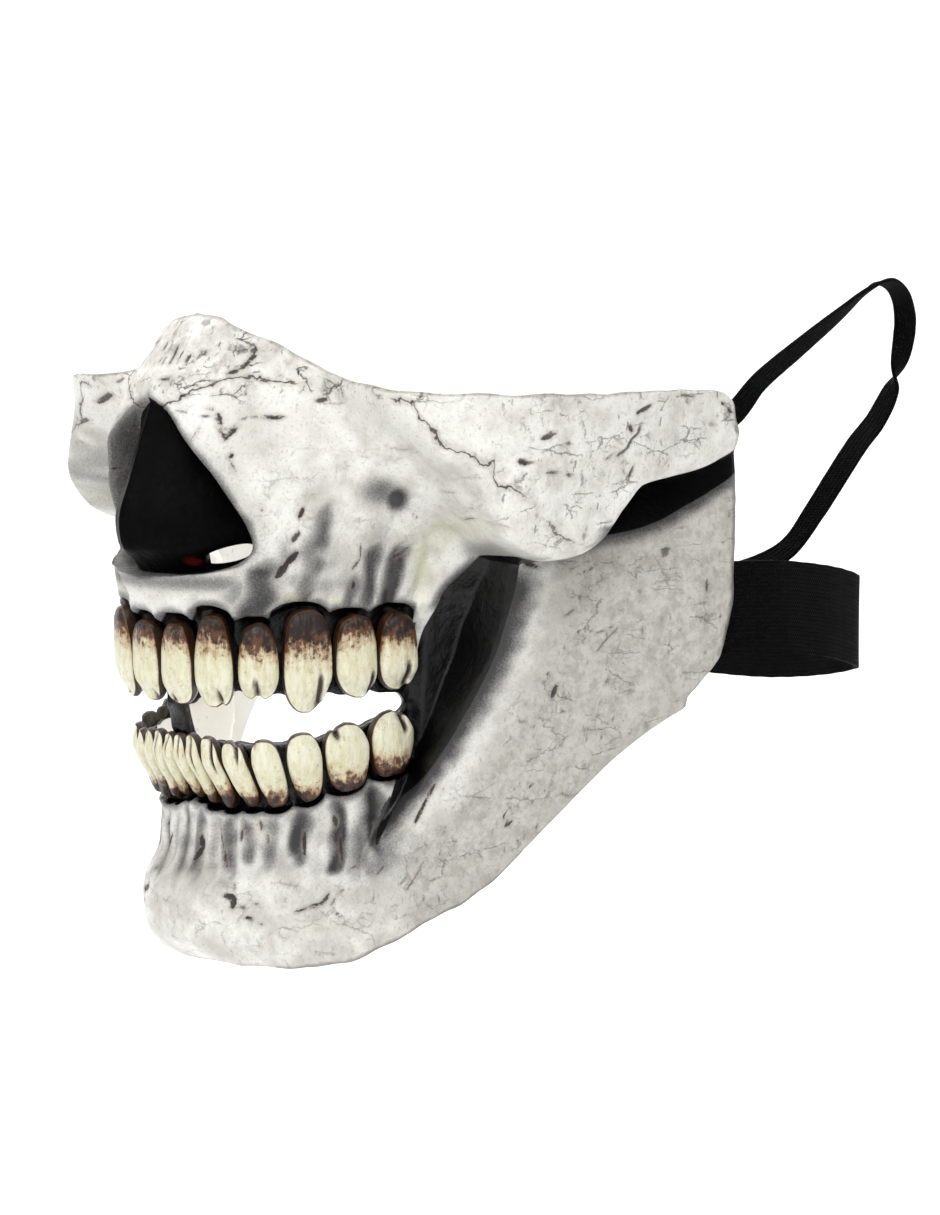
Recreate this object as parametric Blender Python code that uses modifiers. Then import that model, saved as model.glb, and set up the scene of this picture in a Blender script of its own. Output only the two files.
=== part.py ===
"""Skull half mask: one thin latex casting with its row of teeth, a wide head band and a narrow upper strap.

The mask faces -Y, +X is the wearer's left and +Z is up. The origin is the middle of the face opening: on the
midline, in the plane of the two back edges and level with the nasal spine. The casting is described around an
upright axis inside the hollow: each place on it has an angle from the front, a height and a radius.
"""

import math
from typing import NamedTuple

import bmesh
import bpy
import numpy as np

MM = 0.001

# Driving sizes, in millimetres and degrees
DEPTH = 131.0  # nasal spine to the plane of the back edges
AXIS_SETBACK = 85.0  # nasal spine to the upright axis
WALL = 2.2  # latex
SEAT_GAP = 0.45  # under each tooth
BACK_ANGLE = 119.5  # the back edges, from the front
CUT_START = 100.0  # from here on the columns follow the slanted back edge
EDGE_STEP = 1.5  # half the height of the step along the cheekbone's lower edge
GUM_STEP = 1.2  # half the height of the step down to the gum
WEB_ANGLE = 2.4  # half of the latex web between the two mouth slots
MOUTH_END = 55.0  # where a mouth slot ends
TOOTH_PROUD = 5.0  # how far a tooth's face stands off the gum
BAND_WIDTH = 25.0
BAND_THICK = 1.4
STRAP_WIDTH = 6.0
STRAP_THICK = 1.0
SEWN_LENGTH = 12.0  # of a band, glued inside the casting
GLUE_GAP = 0.6

# Columns of faces between the lines that the columns follow, from the middle to a back edge
COLUMN_COUNTS = (4, 1, 6, 7, 1, 7, 3)
COLUMN_STEP = 1.4  # half the angle of the steps at the nasal opening and at the front of the jaw's branch
COLUMN_CHEEK = 37.0
NOSE_COLUMN = (
    (-105, 15), (-20, 15), (-3, 16.5), (4, 20.5), (9, 19.8), (18, 16.5), (30, 10.5), (37, 7), (45, 6), (62, 6),
)  # height, angle
FRONT_COLUMN = (
    (-105, 52), (-78, 52), (-62, 55), (-52, 59.5), (-46, 63), (-33, 69), (-23, 73.5), (0, 77.5), (43, 80),
)
# Rows of faces between the lines that the rows follow, from the bottom edge up
ROW_COUNTS = (6, 1, 4, 2, 4, 1, 3, 1, 11)
MOUTH_ROWS = (11, 13)

# Outline of the casting: angle from the front, height
BOTTOM_EDGE = (
    (0, -105), (13, -104.5), (26, -104), (37, -102.5), (50, -98), (60, -93), (70, -88), (79, -82),
    (93, -66), (107, -48), (113, -42), (119.5, -36),
)
TOP_EDGE = (
    (0, 62), (8, 60.5), (15, 57.5), (21, 54.5), (26, 52), (31, 49.5), (36, 47.2), (41, 45.5), (48, 44),
    (60, 43.2), (85, 42.5), (112, 42), (117, 41), (119.5, 37.5),
)
BACK_EDGE = ((-38, 114.5), (-34, 116.5), (-27, 118.7), (-13, 119.5), (62, 119.5))  # height, angle
MOUTH_LOWER = ((0, -46), (15, -46.5), (28, -45.5), (40, -43), (52, -40.5), (60, -41), (90, -34), (119.5, -24))
MOUTH_UPPER = ((0, -33), (15, -33), (28, -34), (40, -34), (52, -34.5), (60, -36), (90, -28), (119.5, -19))
CHEEK_EDGE = (
    (0, -2.2), (22, -2.2), (40, 1.5), (58, 8), (65, 9), (69, 5.5), (74, 1.8), (79.5, 0), (84, 0.8), (89, 4.5),
    (93.5, 12), (97.5, 17.4), (104, 19), (112, 20.8), (119.5, 26),
)


class Form(NamedTuple):
    """Radii of one layer of the casting: a row for each height, a value for each of the angles."""

    angles: tuple
    rows: tuple


# Nose bridge, upper jaw with the tooth arches, floor of the cheek hollows, and chin
CORE = Form(
    (0, 10, 20, 30, 40, 50, 60, 70, 80),
    (
        (62, (63, 61.5, 57, 56, 60, 66, 70, 72, 72)),
        (52, (73, 69, 61, 58, 62, 70, 75, 77, 77)),
        (43, (79.5, 75.5, 65, 60, 65, 76, 81, 82, 82)),
        (30, (80, 80.5, 69.5, 61.5, 59.5, 66, 74, 76, 76)),
        (18, (82, 80.5, 73.5, 64, 59.5, 61, 66, 68, 68)),
        (6, (83.5, 80, 72.5, 65, 58.5, 55, 54.5, 57, 60)),
        (-2, (83.5, 80, 72.8, 65, 57.5, 53, 51.5, 55, 58)),
        (-10, (79, 78, 72.5, 64.5, 56.5, 51.3, 49, 50, 53)),
        (-20, (77, 76.5, 72, 63.5, 55.5, 49.5, 46.5, 46, 48)),
        (-35, (76, 75.5, 71.5, 63, 55.5, 49, 45, 44.5, 47)),
        (-47, (73, 72, 68.5, 60.5, 53, 47.5, 43.5, 43, 46)),
        (-60, (66, 65.5, 62.5, 56.5, 51, 46.5, 44, 45, 50)),
        (-75, (67, 66, 63, 58, 54, 50.5, 50, 52, 55)),
        (-88, (72, 70.5, 67, 62, 57, 54, 53.5, 55, 57)),
        (-97, (70.5, 69, 66, 61.5, 57, 54, 54, 55, 57)),
        (-105, (60, 61, 60.5, 59, 56.5, 54, 54, 55, 57)),
    ),
)
# The upright branch of the lower jaw, and the jaw's body below it
RAMUS = Form(
    (40, 50, 60, 70, 80, 90, 100, 110, 120),
    (
        (43, (60, 60, 62, 66, 70, 74, 79, 86, 96)),
        (12, (56, 56, 58, 61, 65, 69.5, 76, 85.5, 97.5)),
        (-10, (55, 55, 57.5, 60, 64.5, 69.5, 76, 85.5, 97)),
        (-27, (55, 54.7, 56.8, 59.5, 63.3, 68.5, 75, 84.5, 95)),
        (-35, (54.5, 54.4, 56.5, 59, 63, 68, 74, 83, 92.5)),
        (-46, (53.5, 53.5, 55.8, 58.2, 62, 66.5, 72, 80, 90)),
        (-66, (53, 51.8, 53, 55.5, 59, 63, 68, 76, 86)),
        (-78, (54.4, 51.6, 52, 54, 57, 61, 65.5, 73, 81)),
        (-88, (57, 54, 53.5, 55, 57.5, 60.5, 64.5, 71, 79)),
        (-105, (56.5, 54, 54, 55, 57, 60, 64, 70, 78)),
    ),
)
RAMUS_FRONT = ((-105, 40), (-78, 42), (-73, 44), (-62, 54), (-52, 59.5), (-46, 63), (-33, 69), (-23, 73.5), (0, 77.5), (43, 80))
# The cheekbone and its arch
CHEEK = Form(
    (40, 50, 57, 64, 72, 80, 90, 100, 110, 120),
    (
        (43, (65, 79, 84, 87, 88.5, 88, 87.5, 88.3, 90.5, 96)),
        (36, (62.5, 75, 82.5, 86.5, 88.5, 87.8, 87.2, 88, 90.5, 97)),
        (28, (60, 69, 79.5, 86, 88.5, 87.3, 86.2, 87.5, 90.5, 97.5)),
        (18, (60, 62, 73, 84, 87.5, 86, 84.8, 86, 90, 97.5)),
        (8, (59, 58, 64, 77, 84, 84, 83.3, 84, 87, 95)),
        (-2, (58, 56, 60, 70, 78, 80.5, 80.5, 82, 85, 92)),
    ),
)
CHEEK_FRONT = ((-2, 66), (9, 66), (14, 63), (21, 60), (32, 52), (43, 44))  # height, angle
# The cover over the wearer's nose, seen in the nasal opening
NOSE = Form(
    (0, 5, 10, 15, 22),
    (
        (42, (78, 76, 71, 66, 62)),
        (33, (80, 76.5, 70.5, 65, 61)),
        (22, (84, 80, 73, 66, 62)),
        (10, (88, 84.5, 77, 68, 62)),
        (4, (87, 83.5, 76.5, 68, 62)),
        (0, (81, 79, 73.5, 66, 60)),
        (-4, (77, 76, 71, 65, 60)),
    ),
)
NOSE_OPENING = ((-4, 0), (-2.2, 13), (0, 18), (4, 20.5), (9, 19.8), (18, 16.5), (30, 10.5), (37, 5.5), (41.5, 0))  # height, half angle


class Tooth(NamedTuple):
    """One tooth of a side: its two side angles, the heights of its gum end and its biting end."""

    near: float
    far: float
    gum: float
    tip: float


UPPER_TEETH = (
    Tooth(0.3, 8.4, -14.8, -36.0),
    Tooth(8.9, 16.1, -12.3, -36.2),
    Tooth(16.6, 23.6, -15.2, -34.2),
    Tooth(24.1, 33.4, -11.6, -37.8),
    Tooth(33.9, 43.6, -13.8, -35.0),
    Tooth(44.1, 56.0, -13.2, -33.6),
)
LOWER_TEETH = (
    Tooth(0.3, 3.9, -61.0, -43.6),
    Tooth(4.3, 8.5, -62.5, -43.2),
    Tooth(8.9, 13.2, -63.0, -43.6),
    Tooth(13.6, 18.6, -62.5, -44.4),
    Tooth(19.0, 24.4, -62.5, -44.0),
    Tooth(24.8, 30.6, -61.0, -42.6),
    Tooth(31.0, 41.6, -58.5, -40.6),
    Tooth(42.0, 54.8, -55.5, -38.4),
)
# From the seat to the crown: share of the outline, share of the height off the gum
TOOTH_PROFILE = ((0.0, 0.0), (0.84, 0.0), (1.0, 0.26), (0.93, 0.72), (0.6, 0.95), (0.0, 1.0))
TOOTH_SIDES = 10

# The gum of both rows lies back from the bone between these lines: angle, height
UPPER_GUM = (
    (0, -13.2), (4.3, -13.2), (12.5, -10.7), (20.1, -13.6), (28.7, -10), (38.7, -12.2), (50, -11.6), (60, -11.6),
    (90, -8), (119.5, -4),
)
LOWER_GUM = (
    (0, -62.6), (2, -62.6), (6.4, -64.1), (11, -64.6), (16, -64.1), (21.7, -64.1), (27.7, -62.6), (36.3, -60.1),
    (48.4, -57.1), (60, -57), (90, -45), (119.5, -31),
)
GUM_DEPTH = 4.6
GUM_END = (56, 62)

# Root ridges fade out between these heights: start, full, full, end
UPPER_ROOTS = (-12, -9, 0, 14)
LOWER_ROOTS = (-84, -78, -68, -64)
ROOT_RELIEF = 1.1

NOSTRIL_ANGLE = 13.0
NOSTRIL_HEIGHT = 0.6
NOSTRIL_SIZE = (5.4, 2.4)  # half width, half height


class Station(NamedTuple):
    """A place on a band's path: side, setback from the nasal spine, height, and lean of its width from upright."""

    side: float
    setback: float
    height: float
    lean: float


HEAD_BAND = (
    Station(84.2, 146, -17.0, 3), Station(84.5, 160, -18.8, 1), Station(82.5, 176, -21, 0), Station(78.5, 188, -23, 0),
    Station(72, 195.5, -25, 0), Station(60, 199.5, -28, 0), Station(40, 202, -31, 0), Station(0, 203, -32, 0),
    Station(-40, 202, -31, 0), Station(-60, 199.5, -28, 0), Station(-72, 195.5, -25, 0), Station(-78.5, 188, -23, 0),
    Station(-82.5, 176, -21, 0), Station(-84.5, 160, -18.8, 1), Station(-84.2, 146, -17.0, 3),
)
UPPER_STRAP = (
    Station(82, 144, 43.0, 10), Station(82, 160, 51.5, 20), Station(81, 177, 59.5, 35), Station(80, 190, 65.5, 55),
    Station(78, 201, 67.5, 80), Station(76, 210, 64.5, 95), Station(74, 216, 57.6, 100), Station(72, 218.5, 50, 95),
    Station(69, 218.5, 39, 80), Station(68, 213, 30, 70), Station(68, 205, 23.5, 60), Station(67, 196, 14, 50),
    Station(65, 189, 6, 45), Station(60, 181, -4.5, 40), Station(50, 172, -11, 30), Station(30, 164, -14, 10),
    Station(0, 156, -9, 0), Station(-30, 150, 4, 0), Station(-62, 146, 21, 0), Station(-79, 141, 31, 0),
)


def curve(table, at):
    """A smooth line through a table of (place, value) rows, held level past both ends."""
    places, values = np.array(table, float).T
    return blend(places, values[:, None], np.atleast_1d(np.asarray(at, float)))


def blend(places, values, at):
    """Cubic steps between rows of values that rise with places. Slopes are taken from the neighbours, limited."""
    at = np.clip(at, places[0], places[-1])
    steps = np.diff(places)
    rises = np.diff(values, axis=0) / steps[:, None]
    slopes = np.zeros_like(values)
    slopes[1:-1] = np.where(rises[1:] * rises[:-1] > 0, 2 / (1 / (rises[1:] + 1e-12) + 1 / (rises[:-1] + 1e-12)), 0)
    slopes[0] = rises[0]
    slopes[-1] = rises[-1]
    lower = np.clip(np.searchsorted(places, at, "right") - 1, 0, len(steps) - 1)
    column = np.arange(len(at)) if values.shape[1] > 1 else np.zeros(len(at), int)
    share = (at - places[lower]) / steps[lower]
    gap = steps[lower]
    start = values[lower, column]
    end = values[lower + 1, column]
    return (
        start * (1 + 2 * share) * (1 - share) ** 2
        + slopes[lower, column] * gap * share * (1 - share) ** 2
        + end * share**2 * (3 - 2 * share)
        + slopes[lower + 1, column] * gap * share**2 * (share - 1)
    )


def radius_of(form, angle, height):
    """The radius of a layer at these angles and heights."""
    rows = sorted(form.rows)
    heights = np.array([row[0] for row in rows], float)
    across = np.stack([curve(tuple(zip(form.angles, row[1])), angle) for row in rows])
    return blend(heights, across, height)


def ease(value):
    """0 below 0, 1 above 1, smooth between."""
    value = np.clip(value, 0, 1)
    return value * value * (3 - 2 * value)


def window(height, start, full, full_end, end):
    """1 between full and full_end, fading to 0 at start and end."""
    return ease((height - start) / (full - start)) * ease((end - height) / (end - full_end))


def root_relief(angle, height):
    """Upright ridges over the roots of the teeth, a ridge in line with each."""
    relief = np.zeros_like(height)
    for teeth, span in ((UPPER_TEETH, UPPER_ROOTS), (LOWER_TEETH, LOWER_ROOTS)):
        strength = window(height, *span)
        for tooth in teeth:
            middle = (tooth.near + tooth.far) / 2
            half = (tooth.far - tooth.near) / 2
            relief += ROOT_RELIEF * strength * np.clip(1 - ((angle - middle) / half) ** 2, -0.2, 1)
    return relief


def radius(angle, height):
    """The outer surface of the casting: radius at each angle from the front (either side) and height."""
    angle = np.abs(np.atleast_1d(np.asarray(angle, float)))
    height = np.atleast_1d(np.asarray(height, float))
    core = radius_of(CORE, angle, height)
    core += root_relief(angle, height)
    gum = 1 - ease((angle - GUM_END[0]) / (GUM_END[1] - GUM_END[0]))
    gum = gum * ease((curve(UPPER_GUM, angle) - height) / (2 * GUM_STEP) + 0.5)
    gum = gum * ease((height - curve(LOWER_GUM, angle)) / (2 * GUM_STEP) + 0.5)
    core -= GUM_DEPTH * gum * (1 - 0.45 * ease(angle / 45))
    core += 1.8 * np.exp(-((angle / 2.2) ** 2) - ((height + 0.5) / 3.0) ** 2)
    opening = curve(NOSE_OPENING, height) - angle
    rim = np.exp(-((opening / 1.6) ** 2)) * window(height, -6, -2, 34, 44)
    core += 0.8 * rim
    core += (radius_of(NOSE, angle, height) - core) * ease(opening / 2.2 + 0.15) * (height > -4) * (height < 41)
    ramus = radius_of(RAMUS, angle, height)
    front = angle - curve(RAMUS_FRONT, height)
    core += (ramus - core) * ease(front / 3.0 + 0.5)
    edge = curve(CHEEK_EDGE, angle)
    depth = ease((height - edge + 12) / 12) * ease((angle - 84) / 8)
    core -= 6.5 * depth * (1 - ease((angle - 110) / 9.5))
    cheek = radius_of(CHEEK, angle, height)
    above = ease((height - edge) / (2 * EDGE_STEP) + 0.5)
    inside = ease((angle - curve(CHEEK_FRONT, height)) / 6 + 0.5)
    return core + (cheek - core) * above * inside


def surface(angle, height):
    """Points of the outer surface in millimetres, in the mask's own frame."""
    angle = np.atleast_1d(np.asarray(angle, float))
    height = np.atleast_1d(np.asarray(height, float))
    out = radius(angle, height)
    turn = np.radians(angle)
    return np.stack([out * np.sin(turn), AXIS_SETBACK - DEPTH - out * np.cos(turn), height], axis=1)


def outward(angle, height, reach=0.8):
    """Unit directions square to the surface, pointing out."""
    angle = np.atleast_1d(np.asarray(angle, float))
    height = np.atleast_1d(np.asarray(height, float))
    along = surface(angle + reach, height) - surface(angle - reach, height)
    up = surface(angle, height + reach) - surface(angle, height - reach)
    normal = np.cross(along, up)
    return normal / np.linalg.norm(normal, axis=1)[:, None]


def share_out(lines, counts):
    """Rows of values evenly spaced between lines, a count of steps for each gap."""
    rows = [lines[0]]
    for start, end, count in zip(lines, lines[1:], counts):
        rows += [start + (end - start) * step / count for step in range(1, count + 1)]
    return np.array(rows)


def column_angles(heights):
    """Angles of one side's columns at these heights (columns by heights)."""
    nose = curve(NOSE_COLUMN, heights)
    front = curve(FRONT_COLUMN, heights)
    level = np.ones_like(heights)
    lines = [
        0 * level, nose - COLUMN_STEP, nose + COLUMN_STEP, COLUMN_CHEEK * level, front - COLUMN_STEP,
        front + COLUMN_STEP, CUT_START * level, curve(BACK_EDGE, heights),
    ]
    return share_out(lines, COLUMN_COUNTS)


def row_heights(angles):
    """Heights of all rows at these angles (rows by angles)."""
    bottom, lower_gum, lower, upper, upper_gum, edge, top = (
        curve(table, angles)
        for table in (BOTTOM_EDGE, LOWER_GUM, MOUTH_LOWER, MOUTH_UPPER, UPPER_GUM, CHEEK_EDGE, TOP_EDGE)
    )
    lines = [
        bottom, lower_gum - GUM_STEP, lower_gum + GUM_STEP, lower, upper, upper_gum - GUM_STEP, upper_gum + GUM_STEP,
        edge - EDGE_STEP, edge + EDGE_STEP, top,
    ]
    return share_out(lines, ROW_COUNTS)


def grid_places():
    """Angle and height of each point of the casting's mesh, both as rows by columns, from right to left."""
    heights = np.tile(np.linspace(-90, 40, sum(ROW_COUNTS) + 1)[:, None], sum(COLUMN_COUNTS) + 1)
    for _ in range(6):
        angles = np.stack([column_angles(row)[index] for index, row in enumerate(heights.T)], axis=1)
        heights = np.stack([row_heights(column)[index] for index, column in enumerate(angles)])
    mirrored = np.concatenate([-angles[:, :0:-1], angles], axis=1)
    return mirrored, np.concatenate([heights[:, :0:-1], heights], axis=1)


def collection_of(name):
    """A new collection in the scene."""
    made = bpy.data.collections.new(name)
    bpy.context.scene.collection.children.link(made)
    return made


def material_of(name, colour, roughness, metallic=0.0):
    """A Principled material of one plain colour."""
    made = bpy.data.materials.new(name)
    made.use_nodes = True
    shader = made.node_tree.nodes["Principled BSDF"]
    shader.inputs["Base Color"].default_value = (*colour, 1.0)
    shader.inputs["Roughness"].default_value = roughness
    shader.inputs["Metallic"].default_value = metallic
    return made


def object_from(shape, name, material, collection, smooth=True):
    """Turns a bmesh into a named object and frees it."""
    mesh = bpy.data.meshes.new(name)
    shape.to_mesh(mesh)
    shape.free()
    mesh.materials.append(material)
    if smooth:
        mesh.shade_smooth()
    made = bpy.data.objects.new(name, mesh)
    collection.objects.link(made)
    return made


def solidify(thing, thickness, offset):
    """Gives an open surface its wall."""
    wall = thing.modifiers.new("Wall", "SOLIDIFY")
    wall.thickness = thickness * MM
    wall.offset = offset
    wall.use_even_offset = False


def mask_shell(material, collection, cutters):
    """The casting: a grid bent to the outer surface, open at the two mouth slots, with its wall turned inwards."""
    angles, heights = grid_places()
    count_rows, count_columns = heights.shape
    shape = bmesh.new()
    bmesh.ops.create_grid(shape, x_segments=count_columns - 1, y_segments=count_rows - 1, size=1)
    shape.verts.ensure_lookup_table()
    for vertex, point in zip(shape.verts, surface(angles.ravel(), heights.ravel())):
        vertex.co = point * MM
    slot = []
    for index, face in enumerate(shape.faces):
        row, column = divmod(index, count_columns - 1)
        middle = abs(angles[row, column] + angles[row, column + 1]) / 2
        if MOUTH_ROWS[0] <= row < MOUTH_ROWS[1] and WEB_ANGLE < middle < MOUTH_END:
            slot.append(face)
    bmesh.ops.delete(shape, geom=slot, context="FACES")
    bmesh.ops.recalc_face_normals(shape, faces=shape.faces)
    casting = object_from(shape, "mask_shell", material, collection)
    solidify(casting, WALL, -1)
    for side in (-1, 1):
        cutter = nostril_cutter(side, cutters)
        hole = casting.modifiers.new("Nostril", "BOOLEAN")
        hole.operation = "DIFFERENCE"
        hole.object = cutter
    return casting


def nostril_cutter(side, cutters):
    """An oval rod through the foot of the nose cover."""
    place = surface(side * NOSTRIL_ANGLE, NOSTRIL_HEIGHT)[0]
    turn = math.radians(side * NOSTRIL_ANGLE)
    half_width, half_height = NOSTRIL_SIZE
    shape = bmesh.new()
    bmesh.ops.create_cone(shape, cap_ends=True, segments=12, radius1=1, radius2=1, depth=30)
    for vertex in shape.verts:
        across, up, through = vertex.co
        across, up = across * half_width, up * half_height
        vertex.co = (
            (place[0] + across * math.cos(turn) + through * math.sin(turn)) * MM,
            (place[1] + across * math.sin(turn) - through * math.cos(turn)) * MM,
            (place[2] + up) * MM,
        )
    bmesh.ops.recalc_face_normals(shape, faces=shape.faces)
    mesh = bpy.data.meshes.new("nostril_cutter")
    shape.to_mesh(mesh)
    shape.free()
    cutter = bpy.data.objects.new("nostril_cutter", mesh)
    cutters.objects.link(cutter)
    cutter.hide_render = True
    cutter.display_type = "WIRE"
    return cutter


def tooth_piece(name, tooth, side, material, collection):
    """One tooth: a ball pressed to a flat seat and a domed face, laid on the gum."""
    half_angle = (tooth.far - tooth.near) / 2
    half_height = abs(tooth.gum - tooth.tip) / 2
    centre = np.array([side * (tooth.near + tooth.far) / 2, (tooth.gum + tooth.tip) / 2])
    shape = bmesh.new()
    bmesh.ops.create_uvsphere(shape, u_segments=TOOTH_SIDES, v_segments=len(TOOTH_PROFILE) - 1, radius=1)
    places = []
    for vertex in shape.verts:
        ring = round(math.degrees(math.acos(max(-1, min(1, -vertex.co.z)))) / 180 * (len(TOOTH_PROFILE) - 1))
        size, rise = TOOTH_PROFILE[ring]
        around = math.atan2(vertex.co.y, vertex.co.x)
        across = size * squared(math.cos(around)) * half_angle
        up = size * squared(math.sin(around)) * half_height
        places.append((centre[0] + across, centre[1] + up, SEAT_GAP + rise * TOOTH_PROUD))
    angles, heights, offs = np.array(places).T
    points = surface(angles, heights) + outward(angles, heights) * offs[:, None]
    for vertex, point in zip(shape.verts, points):
        vertex.co = point * MM
    return object_from(shape, name, material, collection)


def squared(value):
    """Bends a circle's sine or cosine toward a square with round corners."""
    return math.copysign(abs(value) ** 0.62, value)


def smooth_path(stations, steps):
    """Points and leans along a band, evenly shared between its stations."""
    rows = np.array(stations, float)
    gaps = np.linalg.norm(np.diff(rows[:, :3], axis=0), axis=1)
    along = np.concatenate([[0], np.cumsum(gaps)])
    at = np.linspace(0, along[-1], steps)
    columns = [catmull(along, rows[:, index], at) for index in range(rows.shape[1])]
    points = np.stack([columns[0], columns[1] - DEPTH, columns[2]], axis=1)
    return points, np.radians(columns[3])


def catmull(places, values, at):
    """A curve through all values with the slopes of their neighbours."""
    slopes = np.gradient(values, places)
    lower = np.clip(np.searchsorted(places, at, "right") - 1, 0, len(places) - 2)
    gap = places[lower + 1] - places[lower]
    share = (at - places[lower]) / gap
    return (
        values[lower] * (1 + 2 * share) * (1 - share) ** 2
        + slopes[lower] * gap * share * (1 - share) ** 2
        + values[lower + 1] * share**2 * (3 - 2 * share)
        + slopes[lower + 1] * gap * share**2 * (share - 1)
    )


def inside_stations(height, width, thick):
    """The stretch of a band glued inside the casting, on the wearer's left: two stations, from its end to the edge."""
    stations = []
    for back in (SEWN_LENGTH, SEWN_LENGTH / 2, 0.5):
        levels = np.array([height - width / 2, height, height + width / 2])
        angles = curve(BACK_EDGE, levels) - math.degrees(back / radius(BACK_ANGLE, height)[0]) * 1.05
        normals = outward(angles, levels)
        low, middle, high = surface(angles, levels) - normals * (WALL + GLUE_GAP + thick / 2)
        flat = normals[1] * (1, 1, 0) / np.linalg.norm(normals[1, :2])
        lean = math.degrees(math.atan2((high - low) @ flat, high[2] - low[2]))
        inward = min(0.0, (middle - (high + low) / 2) @ flat)
        side, depth, level = (high + low) / 2 + flat * inward
        stations.append(Station(side, depth + DEPTH, level, lean))
    return stations


def band_piece(name, stations, width, thick, steps, material, collection):
    """A flat strip of elastic along its stations, its width upright where the lean is 0."""
    start = inside_stations(stations[0].height, width, thick)
    end = [
        station._replace(side=-station.side) for station in inside_stations(stations[-1].height, width, thick)[::-1]
    ]
    points, leans = smooth_path((*start, *stations, *end), steps)
    along = np.gradient(points, axis=0)
    along /= np.linalg.norm(along, axis=1)[:, None]
    shape = bmesh.new()
    bmesh.ops.create_grid(shape, x_segments=steps - 1, y_segments=1, size=1)
    shape.verts.ensure_lookup_table()
    upright = np.array([0.0, 0.0, 1.0])
    for index, vertex in enumerate(shape.verts):
        edge, step = divmod(index, steps)
        flat = np.cross(along[step], upright)
        flat /= np.linalg.norm(flat)
        true_up = np.cross(flat, along[step])
        across = true_up * math.cos(leans[step]) + flat * math.sin(leans[step])
        vertex.co = (points[step] + across * width * (edge - 0.5)) * MM
    bmesh.ops.recalc_face_normals(shape, faces=shape.faces)
    strip = object_from(shape, name, material, collection)
    solidify(strip, thick, 0)
    return strip


def main():
    """Clears the scene and builds the mask."""
    for old in list(bpy.data.objects):
        bpy.data.objects.remove(old)
    parts = collection_of("skull_mask")
    cutters = collection_of("skull_mask_cutters")
    latex = material_of("painted_latex", (0.78, 0.75, 0.68), 0.55)
    enamel = material_of("tooth_latex", (0.72, 0.62, 0.38), 0.25)
    elastic = material_of("black_elastic", (0.012, 0.012, 0.014), 0.85)
    mask_shell(latex, parts, cutters)
    for teeth, row in ((UPPER_TEETH, "upper"), (LOWER_TEETH, "lower")):
        for number, tooth in enumerate(teeth, 1):
            for side, hand in ((1, "left"), (-1, "right")):
                tooth_piece(f"{row}_tooth_{hand}_{number}", tooth, side, enamel, parts)
    band_piece("head_band", HEAD_BAND, BAND_WIDTH, BAND_THICK, 52, elastic, parts)
    band_piece("upper_strap", UPPER_STRAP, STRAP_WIDTH, STRAP_THICK, 66, elastic, parts)


main()
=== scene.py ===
"""Looks of the skull half mask: a painted latex casting with its teeth, a wide head band and a narrow strap.

The mask faces -Y, +X is the wearer's left and +Z is up. The casting is described around an upright axis inside the
hollow: each place on it has an angle from the front in degrees, a height in millimetres (mm) and a radius. A side is an
angle without its sign, for what is alike on both hands.
"""

import logging
import math
from dataclasses import dataclass
from enum import Enum

import bmesh
import bpy
import numpy as np
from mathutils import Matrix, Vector, noise


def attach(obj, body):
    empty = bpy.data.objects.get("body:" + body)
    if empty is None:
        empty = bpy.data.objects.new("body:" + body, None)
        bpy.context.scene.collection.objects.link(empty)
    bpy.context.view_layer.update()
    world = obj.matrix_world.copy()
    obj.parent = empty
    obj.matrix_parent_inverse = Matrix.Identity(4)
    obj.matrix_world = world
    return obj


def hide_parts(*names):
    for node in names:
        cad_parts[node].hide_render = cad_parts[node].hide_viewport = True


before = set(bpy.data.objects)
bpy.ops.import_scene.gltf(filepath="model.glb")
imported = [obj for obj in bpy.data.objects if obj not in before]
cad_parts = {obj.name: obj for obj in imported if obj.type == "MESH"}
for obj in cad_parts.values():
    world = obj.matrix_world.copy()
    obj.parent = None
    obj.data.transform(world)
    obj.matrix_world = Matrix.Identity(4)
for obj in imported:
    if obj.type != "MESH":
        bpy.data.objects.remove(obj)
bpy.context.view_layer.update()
SMOOTH = {"interpolation_type": "SMOOTHSTEP"}
TIMES = {"operation": "MULTIPLY"}
TIMES_AND_PLUS = {"operation": "MULTIPLY_ADD"}
LOG = logging.getLogger("skull_mask")

MM = 0.001
ROOT_BODY = "root"
DEPTH = 131.0  # nasal spine to the plane of the back edges
AXIS_SETBACK = 85.0  # nasal spine to the upright axis
WALL = 2.2
SEAT_GAP = 0.45
BACK_ANGLE = 119.5
CUT_START = 100.0
EDGE_STEP = 1.5
GUM_STEP = 1.2
GUM_DEPTH = 4.6
GUM_END = (56, 62)
WEB_ANGLE = 2.4
MOUTH_END = 55.6
UPPER_FROM = -20.0  # height above which a groove belongs to the upper row
ROOT_LEAN = 0.2  # degrees that an upper root leans back for each millimetre it rises
FLAT_SCALE = 1.2217  # millimetres to a degree on the flat chart of the casting
RIM_STEPS = 8  # rows of mesh from the trimmed edge that its stain may reach


class Face(Enum):
    """The casting's surfaces, by the number of the material that their faces carry."""

    SKIN = 0
    LINING = 1
    RIM = 2


@dataclass(frozen=True)
class Form:
    """A layer of the sculpt: angles, and rows of (height, radius at each angle)."""

    angles: tuple
    rows: tuple


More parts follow.
